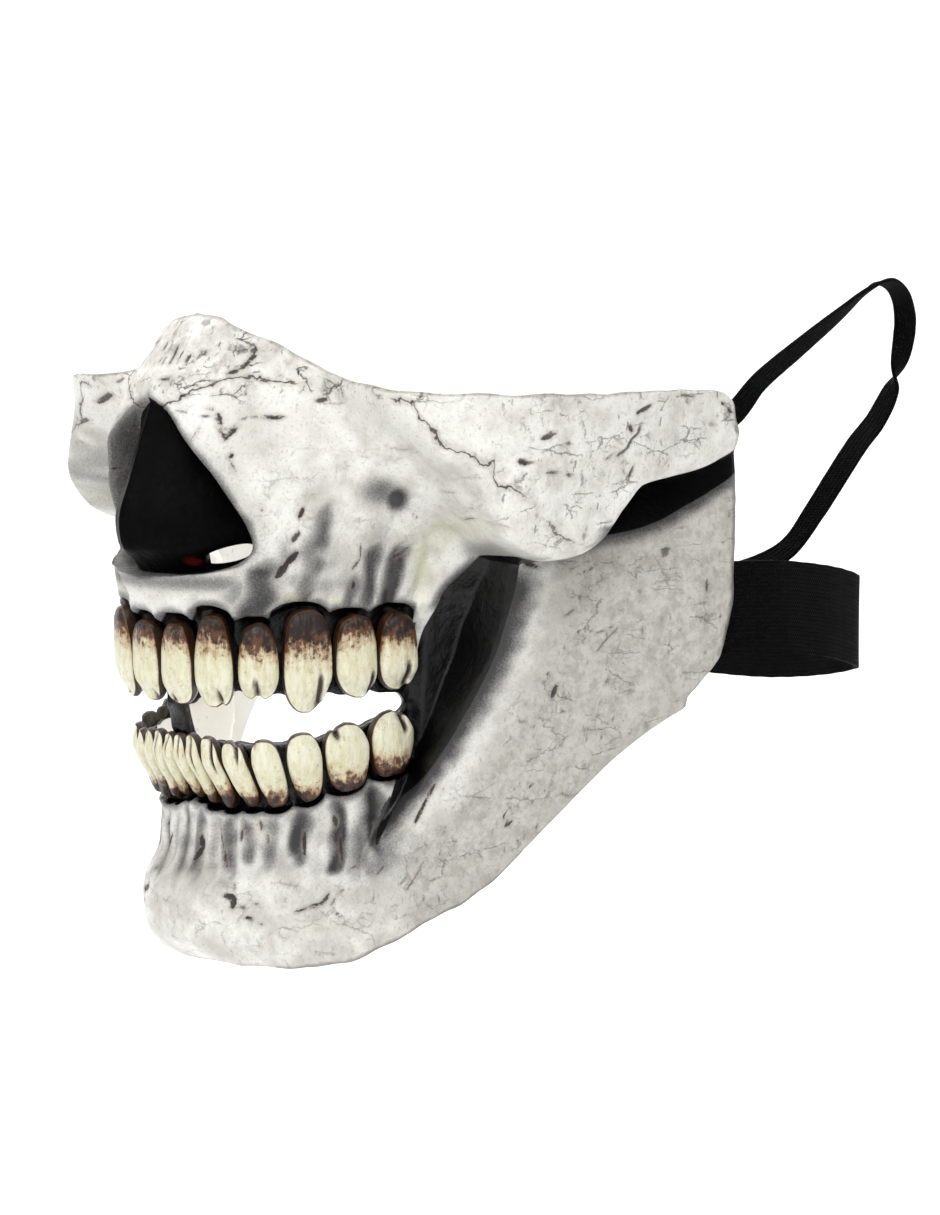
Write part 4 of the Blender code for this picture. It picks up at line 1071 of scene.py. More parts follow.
class Paint:
    """Where each paint lies on the casting."""

    def __init__(self, sculpt: Sculpt, openings: Openings) -> None:
        """Keeps the surface that the paint lies on.

        Args:
            sculpt: the surface.
            openings: its holes.
        """
        self.sculpt = sculpt
        self.openings = openings

    def fields(self, angle: np.ndarray, height: np.ndarray) -> dict[str, np.ndarray]:
        """All attributes at these places.

        Args:
            angle: in degrees.
            height: in mm.

        Returns:
            soot: 0 to 1, with 0.5 at the edge of the glossy black.
            shade: 0 to 1, grey airbrush, and painted shade over the wearer's right cheek.
            mark and mark_tone: distance to the nearest charted mark, and its strength.
            suture and suture_on: signed distance to a suture line, and where the lines run.
            tint: yellow-green wash. grime_and_shade: mottled dirt, and painted shade low on the chin and toward the
                back. worn: where small cuts lie. wet: lacquer. rust: the dark red.
            flat: the flat chart in millimetres.
        """
        side = np.abs(angle)
        mark, tone = strokes_at(angle, height)
        suture, suture_on = self.sutures(side, height)
        flat = np.stack([angle * FLAT_SCALE, np.zeros_like(height), height], axis=1)
        return {
            "soot": np.clip(0.5 + self.soot_gap(angle, height) / 4, 0, 1),
            "shade": self.shade(angle, height),
            "mark": np.clip(mark, -1, 3),
            "mark_tone": tone,
            "suture": suture,
            "suture_on": suture_on,
            "tint": self.tint(side, height),
            "grime_and_shade": self.grime_and_shade(side, height),
            "worn": self.worn(side, height),
            "wet": self.wet(side, height),
            "rust": bell(side - 8.6, 1.5) * bell(height - 0.2, 1.3),
            "flat": flat,
        }

    def soot_gap(self, angle: np.ndarray, height: np.ndarray) -> np.ndarray:
        """Signed millimetres into the glossy black, above 0 inside it.

        Args:
            angle: in degrees.
            height: in mm.

        Returns:
            The distances.
        """
        side = np.abs(angle)
        inside = self.sculpt.opening(side, height) * 1.3 - np.where(angle < 0, FAR_RIM, 0.0)
        nose = np.minimum(inside, np.minimum(height + 3.2, 41 - height))
        front = (side - curve(RECESS_FRONT, height)) * 0.85
        back = (curve(RECESS_BACK, height) - side) * 1.0
        under = curve(CHEEK_EDGE, side) + 0.3 - height
        recess = np.minimum(np.minimum(front, back), np.minimum(under, height + 73))
        slot = np.minimum(np.minimum(height - curve(SLOT_EDGE, side), under), (side - 88) * 1.2)
        gum = np.where(side < 58, 1.9 - self.sculpt.tooth_gap(side, height), -4.0)
        between = np.minimum(curve(UPPER_GUM, side) - 6 - height, height - curve(LOWER_GUM, side) - 6)
        gum = np.maximum(gum, np.where(side < 57, between, -4.0))
        return np.maximum(np.maximum(nose, recess), np.maximum(slot, gum))

    def shade(self, angle: np.ndarray, height: np.ndarray) -> np.ndarray:
        """Soft grey airbrush in the root grooves, round the pit, beside each black area and along the branch; painted
        shade over the wearer's right cheek.

        Args:
            angle: in degrees.
            height: in mm.

        Returns:
            The grey, 0 to 1.3.
        """
        side = np.abs(angle)
        spots = np.stack([angle * FLAT_SCALE, np.zeros_like(height), height], axis=1)
        drift, waver = 1.6 * lumps(spots, 7.0, 41.0), lumps(spots, 4.0, 57.0)
        made = [np.zeros_like(height)]
        for place, low, high, _, half, strength in GROOVES:
            streak = self.sculpt.groove(side + drift, height + 2.5 * waver, place, low, high, half * 1.7)
            made.append(1.25 * strength * streak * (0.9 + 0.35 * waver))
        pit_out, pit_up = (side - FORAMEN[0]) * 1.1, height - FORAMEN[1]
        made.append(1.5 * bell(pit_out + 0.4, 3.0) * bell(pit_up + 0.1, 3.3))
        made.append(0.85 * bell(pit_out + 4.4, 6.4) * bell(pit_up - 1.8, 4.4))
        made.append(0.42 * bell(pit_out + 4.0, 4.5) * bell(pit_up + 11, 9))
        back = (side - curve(RECESS_BACK, height)) * 1.05 + 1.2 * waver
        made.append(1.15 * past(back, 5.6) * window(height, -82, -66, -8, 3) * (back > -4))
        made.append(0.36 * past(back, 13.0) * window(height, -90, -66, -14, 0) * (back > -4))
        front = (curve(RECESS_FRONT, height) - side) * 0.9
        made.append(past(front, 2.4) * window(height, -16, -11, -3, 5) * (front > -3))
        nose = -self.sculpt.opening(side, height) * 1.3 + 0.6 * waver
        nose = np.where(angle < 0, 0.3 * (nose + FAR_RIM), nose)
        made.append(0.95 * past(nose, 1.9) * window(height, -7, -3, 38, 47))
        made.append(0.3 * past(nose, 6.5) * window(height, -9, -3, 26, 44))
        made.append(0.75 * bell(height + 4.8, 2.8) * window(side, -1, 0, 15, 21))
        slot = curve(SLOT_EDGE, side) - height + 0.8 * waver
        made.append(1.1 * past(slot, 3.4) * ease((side - 84) / 8) * (slot > -4))
        made.append((0.72 + 0.3 * waver) * bell(side - 45, 14) * bell(height + 74, 10))
        made.append(0.8 * past(self.sculpt.tooth_gap(side, height) - 1.6 + 0.5 * waver, 2.0) * (side < 58))
        made.append((0.28 + 0.3 * waver) * window(height, -90, -76, -63, -60) * (1 - ease((side - 50) / 10)))
        made.append((0.34 + 0.3 * waver) * window(height, -13, -9, 0, 15) * window(side, 12, 18, 54, 60))
        under = curve(CHEEK_EDGE, side) - height
        made.append(0.55 * window(under, -1.5, 0.2, 2.0, 8.0) * window(side, 66, 72, 112, 119))
        low_rim = window(height - curve(BOTTOM_EDGE, side), -1, 0, 2.5, 10) * ease((side - 30) / 30)
        made.append((0.22 + 0.15 * waver) * low_rim)
        # Painted shade: grey over the wearer's right cheek, the side turned from the light.
        made.append((0.48 + 0.3 * waver) * bell(side - 66, 17) * bell(height - 18, 24) * (angle < 0))
        return np.clip(np.maximum.reduce(made), 0, 1.3)

    def sutures(self, side: np.ndarray, height: np.ndarray) -> tuple[np.ndarray, np.ndarray]:
        """Signed distance to the suture line of each stretch, and a mask that ends it.

        Args:
            side: in degrees.
            height: in mm.

        Returns:
            The distances and the mask.
        """
        suture = np.full(side.shape, 3.0)
        shown = np.zeros(side.shape)
        reach = 0.25
        for line, start, stop, low, high, strength in (
            (NASAL_SUTURE, -1, 38, 0.6, 28, 1.0),
            (CHEEK_SUTURE, 38, 73.6, 48.6, 71.8, 1.0),
            (LOBE_SUTURE, 73.6, 130, 75.4, 83, 0.8),
        ):
            slope = (curve(line, side + reach) - curve(line, side - reach)) / (2 * reach * FLAT_SCALE)
            found = (height - curve(line, side)) / np.sqrt(1 + slope**2)
            here = (side >= start) & (side < stop)
            suture = np.where(here, found, suture)
            shown = np.where(here, strength * window(side, low, low + 1, high - 2.5, high), shown)
        return np.clip(suture, -6, 6), shown * (np.abs(suture) < 5)

    def tint(self, side: np.ndarray, height: np.ndarray) -> np.ndarray:
        """Yellow-green wash.

        Args:
            side: in degrees.
            height: in mm.

        Returns:
            Its strength.
        """
        spots = (
            (64, 7, 6, 7, 0.6), (59, -3, 4, 12, 0.75), (54, 5, 5, 7, 0.5), (28.5, -9.4, 3.4, 2.0, 1.7),
            (12.5, -9.8, 3, 1.5, 0.5), (36, -10, 6, 2.5, 0.5), (20, 8, 12, 10, 0.15), (48, 27, 9, 6, 0.3),
            (36, -92, 14, 4, 0.25),
        )
        return np.maximum.reduce([
            strength * bell(side - place, wide) * bell(height - level, high)
            for place, level, wide, high, strength in spots
        ])

    def grime_and_shade(self, side: np.ndarray, height: np.ndarray) -> np.ndarray:
        """Mottled dirt, strongest on the branch of the jaw, and painted shade low on the chin and toward the back of
        both sides.

        Args:
            side: in degrees.
            height: in mm.

        Returns:
            Its strength.
        """
        under = ease((curve(CHEEK_EDGE, side) - height) / 4)
        branch = ease((side - curve(RAMUS_FRONT, height) - 4) / 14) * under
        bridge = 0.5 * ease((height - 38) / 10) * (1 - ease((side - 30) / 16))
        # Painted shade: darker toward the bottom of the chin.
        chin = 0.5 * ease((-66 - height) / 14)
        cheek = 0.42 * window(side, 20, 34, 60, 76) * window(height, -14, -4, 24, 40)
        # Painted shade: darker beyond 60 degrees from the front, on both sides.
        far = 0.25 * ease((side - 60) / 10)
        return np.clip(np.maximum.reduce([branch, bridge, chin, cheek, far]), 0, 1)

    def worn(self, side: np.ndarray, height: np.ndarray) -> np.ndarray:
        """Where small cuts and flecks lie: over the bridge, along the cheekbone and on the branch of the jaw.

        Args:
            side: in degrees.
            height: in mm.

        Returns:
            The shares.
        """
        bridge = ease((height - 36) / 8) * (1 - ease((side - 52) / 14))
        arch = 0.75 * ease((height - curve(CHEEK_EDGE, side) - 2) / 4) * ease((side - 56) / 14)
        under = ease((curve(CHEEK_EDGE, side) - 2 - height) / 4)
        branch = 0.5 * ease((side - curve(RAMUS_FRONT, height) - 6) / 10) * under
        chin = 0.4 * ease((-76 - height) / 8) + 0.3 * window(height, -4, 4, 24, 34) * window(side, 18, 24, 50, 60)
        return np.clip(np.maximum.reduce([bridge, arch, branch, chin]), 0, 1)

    def wet(self, side: np.ndarray, height: np.ndarray) -> np.ndarray:
        """Where the black is lacquered: on the gums and in the hollow beside them.

        Args:
            side: in degrees.
            height: in mm.

        Returns:
            The shares.
        """
        gums = (1 - ease((side - 56) / 4)) * window(height, -75, -68, -10, -6)
        hollow = ease((side - 44) / 4) * (1 - ease((side - curve(RECESS_BACK, height) - 2) / 2))
        hollow *= window(height, -80, -74, 0, 3)
        return np.maximum(gums, hollow)


@dataclass
class Teeth:
    """All teeth: each one a ball pressed to a flat seat and a domed crown, laid on the gum."""

    sculpt: Sculpt
    around: int = 44
    rings: int = 26
    cleft_depth: float = 1.0
    cleft_half: float = 0.15  # as a share of the half width
    tip_thin: float = 0.4
    squareness: float = 0.58  # 1 leaves a circle, less makes it squarer

    def build(self) -> list[bpy.types.Object]:
        """Makes one object for each tooth of the part.

        Returns:
            The crowns.
        """
        lacquer = LacqueredTooth().material()
        made = []
        for row, teeth in (("upper", UPPER_TEETH), ("lower", LOWER_TEETH)):
            for number, tooth in enumerate(teeth, 1):
                for hand, side in (("left", 1), ("right", -1)):
                    made.append(self.tooth(f"{row}_tooth_{hand}_{number}", tooth, side))
                    made[-1].data.materials.append(lacquer)
        return made

    def tooth(self, node: str, tooth: Tooth, side: int) -> bpy.types.Object:
        """One crown, with its stain, groove and edge charted on it; stain and edge carry painted shade on the side
        toward +X.

        Args:
            node: the name of its node.
            tooth: its sizes.
            side: 1 for the left, -1 for the right.

        Returns:
            The crown.
        """
        shape = bmesh.new()
        bmesh.ops.create_uvsphere(shape, u_segments=self.around, v_segments=self.rings, radius=1)
        ball = np.array([vertex.co for vertex in shape.verts])
        turn = np.arccos(np.clip(-ball[:, 2], -1, 1)) / math.pi
        around = np.arctan2(ball[:, 1], ball[:, 0])
        size, rise = curve(TOOTH_SIZE, turn), curve(TOOTH_RISE, turn)
        across = size * self.squared(np.cos(around))
        share = (1 + size * self.squared(np.sin(around))) / 2
        twist = 0.12 * math.sin(7 * tooth.near + 3 * side)  # moves the groove, so that no two teeth are alike
        half = (tooth.far - tooth.near) / 2 * (1 - tooth.taper * (1 - ease(share * 1.6)))
        angle = side * ((tooth.near + tooth.far) / 2 - tooth.lean * (share - 0.5) + across * half)
        toward_tip = ease((share - 0.5) / 0.5)
        groove = bell(across - tooth.cleft - twist, self.cleft_half)
        fall = tooth.sharp * np.minimum((across - tooth.point) ** 2, 1.6) * toward_tip
        fall += (tooth.notch + 0.3 * twist) * groove * ease((share - 0.72) / 0.28)
        level = tooth.gum + (tooth.tip - tooth.gum) * share
        level += np.sign(tooth.gum - tooth.tip) * fall
        crown = rise * TOOTH_PROUD * (1 - self.tip_thin * ease((share - 0.72) / 0.28) * ease((turn - 0.4) / 0.3))
        split = groove * ease((share - 1 + tooth.cleft_length) / 0.25) * ease((turn - 0.45) / 0.2)
        crown -= self.cleft_depth * split
        crown += 0.45 * (1 - across**2) * ease((turn - 0.5) / 0.3) * (1 - ease((share - 0.5) / 0.5))
        spots = self.sculpt.surface(angle, level)
        relief = 0.14 * lumps(spots, 2.2, 9.0) + 0.3 * lumps(spots * (1, 1, 0.3), 3.0, 4.0)
        crown += ease((turn - 0.45) / 0.2) * relief
        points = spots + self.sculpt.outward(angle, level) * (SEAT_GAP + np.maximum(crown, 0))[:, None]
        for vertex, point in zip(shape.verts, (points * MM).tolist()):
            vertex.co = point
        if side < 0:
            bmesh.ops.reverse_faces(shape, faces=shape.faces)
        made = finished(shape, f"{node}_crown")
        # Painted shade: the stain reaches further and the edge is darker on the side of each crown toward +X, the
        # wearer's left. The edge is also darker round the crown's flanks toward its seat.
        stain = 0.5 + (tooth.stain - share) / 0.5 + 0.5 * np.maximum(np.abs(across) - 0.72, 0)
        stain += 0.12 * side * across * toward_tip
        rim = ease((0.66 - turn) / 0.14) + 0.35 * ease((side * across - 0.45) / 0.5)
        chart(made.data, {"stain": stain, "cleft": split, "share": share, "edge": rim})
        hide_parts(node)
        return made

    def squared(self, value: np.ndarray) -> np.ndarray:
        """Bends a circle's sine or cosine toward a square with round corners."""
        return np.sign(value) * np.abs(value) ** self.squareness


@dataclass(frozen=True)
class Station:
    """A place on a band's path: side, setback from the nasal spine, height, and lean of its width from upright."""

    side: float
    setback: float
    height: float
    lean: float

    def row(self) -> tuple[float, float, float, float]:
        """The station as plain numbers."""
        return (self.side, self.setback, self.height, self.lean)


@dataclass(frozen=True)
class Band:
    """One elastic: its stations on the wearer's left and right, its section and its mesh counts."""

    node: str
    stations: tuple
    width: float
    thick: float
    steps: int
    across: int
    rib: float  # width of one rib of the weave, in millimetres
    seats: tuple  # heights at which its ends are glued, left then right


def mirrored(stations: tuple) -> tuple:
    """Stations of the left half and then the same ones on the right, without the middle one twice."""
    return stations + tuple(Station(-s.side, s.setback, s.height, s.lean) for s in stations[-2::-1])


HEAD_BAND = Band(
    "head_band",
    mirrored((
        Station(84.2, 146, -15.6, 3), Station(84.5, 160, -17.2, 1), Station(82.5, 176, -20, 0),
        Station(78.5, 188, -23, 0), Station(72, 195.5, -25, 0), Station(60, 199.5, -28, 0),
        Station(40, 202, -31, 0), Station(0, 203, -32, 0),
    )),
    24.0, 1.4, 520, 52, 1.05, (-15.6, -15.6),
)
UPPER_STRAP = Band(
    "upper_strap",
    (
        Station(82, 144, 43.0, 10), Station(82, 160, 51.5, 20), Station(81, 177, 59.5, 35),
        Station(80, 190, 65.5, 55), Station(78, 200, 67.8, 80), Station(76, 208.5, 64.5, 95),
        Station(74, 213.5, 57.6, 100), Station(72, 215, 50, 95), Station(69, 214.5, 39, 80),
        Station(68, 209, 30, 70), Station(68, 201, 23.5, 60), Station(67, 192.5, 14, 50), Station(65, 187, 6, 45),
        Station(60, 181, -4.5, 40), Station(50, 172, -11, 30), Station(30, 164, -14, 10), Station(0, 156, -9, 0),
        Station(-30, 150, 4, 0), Station(-62, 146, 21, 0), Station(-79, 141, 31, 0),
    ),
    6.0, 1.0, 660, 16, 1.0, (34.5, 31.0),
)
SEWN_LENGTH = 12.0
GLUE_GAP = 0.6


@dataclass
class Elastic:
    """A flat woven elastic that runs round the back from inside one edge of the casting to the other."""

    sculpt: Sculpt
    sizes: Band

    def glued(self, height: float) -> list[Station]:
        """The stretch glued inside the casting, on the wearer's left.

        Args:
            height: in mm.

        Returns:
            Its stations.
        """
        stations = []
        for back in (SEWN_LENGTH, SEWN_LENGTH / 2, 0.5):
            half = self.sizes.width / 2
            levels = np.array([height - half, height, height + half])
            edge = self.cad_radius(BACK_ANGLE, height)
            angles = curve(BACK_EDGE, levels) - math.degrees(back / edge) * 1.05
            normals = self.sculpt.outward(angles, levels)
            inward = WALL + GLUE_GAP + self.sizes.thick / 2
            low, middle, high = self.sculpt.surface(angles, levels) - normals * inward
            flat = normals[1] * (1, 1, 0) / np.linalg.norm(normals[1, :2])
            lean = math.degrees(math.atan2((high - low) @ flat, high[2] - low[2]))
            side, depth, level = (high + low) / 2 + flat * min(0.0, (middle - (high + low) / 2) @ flat)
            stations.append(Station(side, depth + DEPTH, level, lean))
        return stations

    def cad_radius(self, angle: float, height: float) -> float:
        """Radius of the skin at one place."""
        return float(self.sculpt.radius(np.array([angle]), np.array([height]))[0])

    def path(self) -> tuple[np.ndarray, np.ndarray]:
        """Points and leans along the band in millimetres, evenly shared.

        Returns:
            The points and the leans.
        """
        stations = self.sizes.stations
        end = [Station(-s.side, s.setback, s.height, s.lean) for s in self.glued(self.sizes.seats[1])[::-1]]
        rows = np.array([s.row() for s in (*self.glued(self.sizes.seats[0]), *stations, *end)], float)
        gaps = np.linalg.norm(np.diff(rows[:, :3], axis=0), axis=1)
        along = np.concatenate([[0], np.cumsum(gaps)])
        at = np.linspace(0, along[-1], self.sizes.steps)
        side, setback, height, lean = (self.through(along, rows[:, index], at) for index in range(4))
        return np.stack([side, setback - DEPTH, height], axis=1), np.radians(lean)

    def through(self, places: np.ndarray, values: np.ndarray, at: np.ndarray) -> np.ndarray:
        """A curve through all values with the slopes of their neighbours.

        Args:
            places: where the values stand, rising.
            values: one for each place.
            at: the places wanted.

        Returns:
            The values.
        """
        slopes = np.gradient(values, places)
        lower = np.clip(np.searchsorted(places, at, "right") - 1, 0, len(places) - 2)
        gap = places[lower + 1] - places[lower]
        share = (at - places[lower]) / gap
        return hermite(values[lower], values[lower + 1], slopes[lower], slopes[lower + 1], gap, share)

    def build(self) -> bpy.types.Object:
        """Makes the band with its ribs, and charts its weave in millimetres.

        Returns:
            The band.
        """
        points, leans = self.path()
        along = np.gradient(points, axis=0)
        along /= np.linalg.norm(along, axis=1)[:, None]
        flat = np.cross(along, (0.0, 0.0, 1.0))
        flat /= np.linalg.norm(flat, axis=1)[:, None]
        upright = np.cross(flat, along)
        across = upright * np.cos(leans)[:, None] + flat * np.sin(leans)[:, None]
        run = np.concatenate([[0], np.cumsum(np.linalg.norm(np.diff(points, axis=0), axis=1))])
        shape = bmesh.new()
        steps, rows = self.sizes.steps, self.sizes.across + 1
        bmesh.ops.create_grid(shape, x_segments=steps - 1, y_segments=rows - 1, size=1)
        shape.verts.ensure_lookup_table()
        share = np.linspace(-0.5, 0.5, rows)
        ripple = 1 + 0.004 * np.sin(run * 0.9)
        spots = points[None] + across[None] * (share[:, None] * self.sizes.width * ripple[None])[..., None]
        for vertex, spot in zip(shape.verts, (spots.reshape(-1, 3) * MM).tolist()):
            vertex.co = spot
        band = finished(shape, f"{self.sizes.node}_elastic")
        weave = np.stack(np.broadcast_arrays(share[:, None] * self.sizes.width, 0.0, run[None]), axis=-1)
        chart(band.data, {"weave": weave.reshape(-1, 3)})
        wall = band.modifiers.new("Thickness", "SOLIDIFY")
        wall.thickness = self.sizes.thick * MM
        wall.offset = 0
        band.data.materials.append(WovenElastic().material(self.sizes.rib))
        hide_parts(self.sizes.node)
        return band


class Coats:
    """A material made of coats, each laid over the ones before it through a mask."""

    def __init__(self, name: str, colour: str, **levels: float) -> None:
        """Starts with a single coat.

        Args:
            name: of the material.
            colour: the first coat.
            levels: the shader's other inputs.
        """
        self.material = bpy.data.materials.new(name)
        self.material.use_nodes = True
        self.tree = self.material.node_tree
        self.shader = self.tree.nodes["Principled BSDF"]
        spot = self.add("TexCoord", out=3)
        self.place = self.add("VectorMath", {"operation": "SCALE"}, {0: spot, "Scale": 1000.0})  # in millimetres
        self.colour = linear(colour)
        self.levels = {key.replace("_", " "): value for key, value in levels.items()}
        self.normal = None

    def add(self, kind: str, settings: dict | None = None, inputs: dict | None = None,
            out: int = 0) -> bpy.types.NodeSocket:
        """Adds one node.

        Args:
            kind: the node's type, without its prefix.
            settings: values of the node's own settings.
            inputs: a value or another node's socket for each input, by name or by number.
            out: which output is wanted.

        Returns:
            That output's socket.
        """
        node = self.tree.nodes.new(f"ShaderNode{kind}")
        for name, value in (settings or {}).items():
            setattr(node, name, value)
        for key, value in (inputs or {}).items():
            if isinstance(value, bpy.types.NodeSocket):
                self.tree.links.new(value, node.inputs[key])
            else:
                node.inputs[key].default_value = value
        return node.outputs[out]

    def worried(self, field: bpy.types.NodeSocket, size: float, ragged: float, low: float,
                high: float) -> bpy.types.NodeSocket:
        """A mask cut from a field whose edge is made uneven.

        Args:
            field: the charted value.
            size: millimetres between the bumps of the edge.
            ragged: how far the edge wanders, in the field's own measure.
            low: the field's value where the mask is 0.
            high: the field's value where the mask is 1.

        Returns:
            The mask.
        """
        grain = self.add("TexNoise", None, {"Vector": self.place, "Scale": 1 / size, "Detail": 6.0, "Roughness": 0.62})
        moved = self.add("Math", TIMES_AND_PLUS, {0: grain, 1: 2 * ragged, 2: field})
        limits = {"Value": moved, "From Min": low + ragged, "From Max": high + ragged}
        return self.add("MapRange", SMOOTH, limits)

    def lay(self, mask: bpy.types.NodeSocket, colour: str, share: float = 1.0, **levels: float) -> None:
        """Lays one coat.

        Args:
            mask: where the coat lies, 0 to 1.
            colour: its colour.
            share: how much it hides.
            levels: the shader's other inputs that it changes, such as Roughness.
        """
        cover = mask if share == 1.0 else self.add("Math", TIMES, {0: mask, 1: share})
        sides = {0: cover, 6: self.colour, 7: linear(colour)}
        self.colour = self.add("Mix", {"data_type": "RGBA"}, sides, out=2)
        for key, level in levels.items():
            name = key.replace("_", " ")
            sides = {0: cover, 2: self.levels[name], 3: level}
            self.levels[name] = self.add("Mix", {"data_type": "FLOAT"}, sides)

    def charted(self, name: str, *rows: tuple) -> None:
        """Lays coats where a chart on the mesh says.

        Args:
            name: the attribute that holds the chart.
            rows: one for each coat: size, ragged, low and high of its worried edge, its colour and its share.
        """
        field = self.add("Attribute", {"attribute_name": name}, out=2)
        for size, ragged, low, high, colour, share in rows:
            self.lay(self.worried(field, size, ragged, low, high), colour, share)

    def emboss(self, height: bpy.types.NodeSocket, millimetres: float) -> None:
        """Raises the surface by this many millimetres where height is 1.

        Args:
            height: 0 to 1.
            millimetres: how far.
        """
        inputs = {"Height": height, "Distance": millimetres * MM}
        if self.normal is not None:
            inputs["Normal"] = self.normal
        self.normal = self.add("Bump", None, inputs)

    def done(self) -> bpy.types.Material:
        """Joins the coats to the shader and returns the material.

        Returns:
            The material.
        """
        wanted = {"Base Color": self.colour} | self.levels
        if self.normal is not None:
            wanted |= {"Normal": self.normal, "Coat Normal": self.normal}
        for name, value in wanted.items():
            if isinstance(value, bpy.types.NodeSocket):
                self.tree.links.new(value, self.shader.inputs[name])
            else:
                self.shader.inputs[name].default_value = value
        return self.material


@dataclass(frozen=True)
class PaintedBone:
    """Natural latex cast in a mould, brushed bone white, airbrushed grey and lined in black acrylic; some grey is
    painted shade.

    The eye sees a satin, slightly uneven white with a spray's fine grain in its greys, crisp brushed flecks and
    cracks, and lacquered black hollows that mirror the room.
    """

    bone: str = "#F3F2EC"
    bone_deep: str = "#CFCCC0"
    # Dirt greys; in the chart of grime and shade they also lay painted shade low on the chin and toward the back.
    dirt: str = "#BDBAB1"
    dirt_deep: str = "#857D74"
    wash: str = "#C9CB93"
    # Airbrush greys; over the wearer's right cheek they are painted shade.
    spray: str = "#9A9894"
    spray_deep: str = "#2A292A"
    line: str = "#241C1A"
    smudge: str = "#4B433E"
    halo: str = "#8C7A6C"
    soot: str = "#060607"
    rust: str = "#5E1512"
    handled: str = "#5F544C"

    def material(self) -> bpy.types.Material:
        """Builds the coats from the bone white up to the black.

        Returns:
            The material.
        """
        coats = Coats(
            "painted_bone_latex", self.bone, IOR=1.5, Specular_IOR_Level=0.5, Roughness=0.42, Coat_Weight=0.15,
            Coat_Roughness=0.14,
        )
        add = coats.add
        cloud = add("TexNoise", None, {"Vector": coats.place, "Scale": 1 / 14.0, "Detail": 5.0, "Roughness": 0.6})
        coats.lay(add("MapRange", None, {"Value": cloud, "From Min": 0.42, "From Max": 0.7}), self.bone_deep, 0.8)
        speck = add("TexNoise", None, {"Vector": coats.place, "Scale": 1 / 0.9, "Detail": 5.0, "Roughness": 0.7})
        coats.lay(add("MapRange", None, {"Value": speck, "From Min": 0.54, "From Max": 0.72}), self.dirt_deep, 0.5)
        # Mottled dirt, and painted shade low on the chin and toward the back of both sides.
        coats.charted(
            "grime_and_shade", (7.0, 0.7, 0.1, 0.9, self.dirt, 0.8), (3.2, 1.2, 0.75, 1.35, self.dirt_deep, 0.42),
            (1.2, 1.4, 0.95, 1.6, self.dirt_deep, 0.32),
        )
        coats.charted("tint", (4.0, 0.35, 0.1, 1.1, self.wash, 0.7))
        self.smudges(coats)
        self.cracks(coats)
        # The grey airbrush, which over the wearer's right cheek is painted shade.
        coats.charted("shade", (0.5, 0.2, 0.02, 0.7, self.spray, 0.8), (0.5, 0.34, 0.3, 1.15, self.spray_deep, 0.98))
        self.flecks(coats)
        self.suture(coats)
        self.marks(coats)
        coats.charted("rim", (3.0, 0.14, 0.2, 0.02, self.handled, 0.7))
        soot = add("Attribute", {"attribute_name": "soot"}, out=2)
        black = coats.worried(soot, 0.9, 0.03, 0.46, 0.55)
        coats.lay(black, self.soot, Roughness=0.42, Coat_Weight=0.0, Specular_IOR_Level=0.04)
        wet = add("Attribute", {"attribute_name": "wet"}, out=2)
        lacquer = add("Math", TIMES, {0: black, 1: wet})
        coats.lay(lacquer, self.soot, Roughness=0.16, Specular_IOR_Level=0.4)
        coats.charted("rust", (1.0, 0.1, 0.3, 0.8, self.rust, 0.85))
        coats.emboss(speck, 0.22)
        broad = add("TexNoise", None, {"Vector": coats.place, "Scale": 1 / 3.4, "Detail": 3.0})
        coats.emboss(broad, 0.55)
        return coats.done()

    def smudges(self, coats: Coats) -> None:
        """Dirt rubbed into the pores: soft grey patches, and ragged brown-grey ones in clusters.

        Args:
            coats: the material so far.
        """
        add = coats.add
        worn = add("Attribute", {"attribute_name": "worn"}, out=2)
        flat = add("Attribute", {"attribute_name": "flat"}, out=1)
        slanted = add("Mapping", None, {"Vector": flat, "Rotation": (0.0, 0.6, 0.0), "Scale": (1.0, 1.0, 0.6)})
        for gather, size, low, high, colour, share in (
            (9.0, 3.0, 0.46, 0.66, self.dirt_deep, 0.5),
            (7.0, 1.9, 0.53, 0.64, self.smudge, 0.8),
            (11.0, 1.0, 0.57, 0.66, self.line, 0.7),
        ):
            patch = add("TexNoise", None, {"Vector": slanted, "Scale": 1 / gather, "Detail": 1.0})
            close = add("MapRange", SMOOTH, {"Value": patch, "From Min": 0.5, "From Max": 0.64})
            torn = add("TexNoise", None, {"Vector": slanted, "Scale": 1 / size, "Detail": 5.0, "Roughness": 0.68})
            spot = add("MapRange", SMOOTH, {"Value": torn, "From Min": low, "From Max": high})
            here = add("Math", TIMES, {0: spot, 1: close})
            coats.lay(add("Math", TIMES, {0: here, 1: worn}), colour, share)

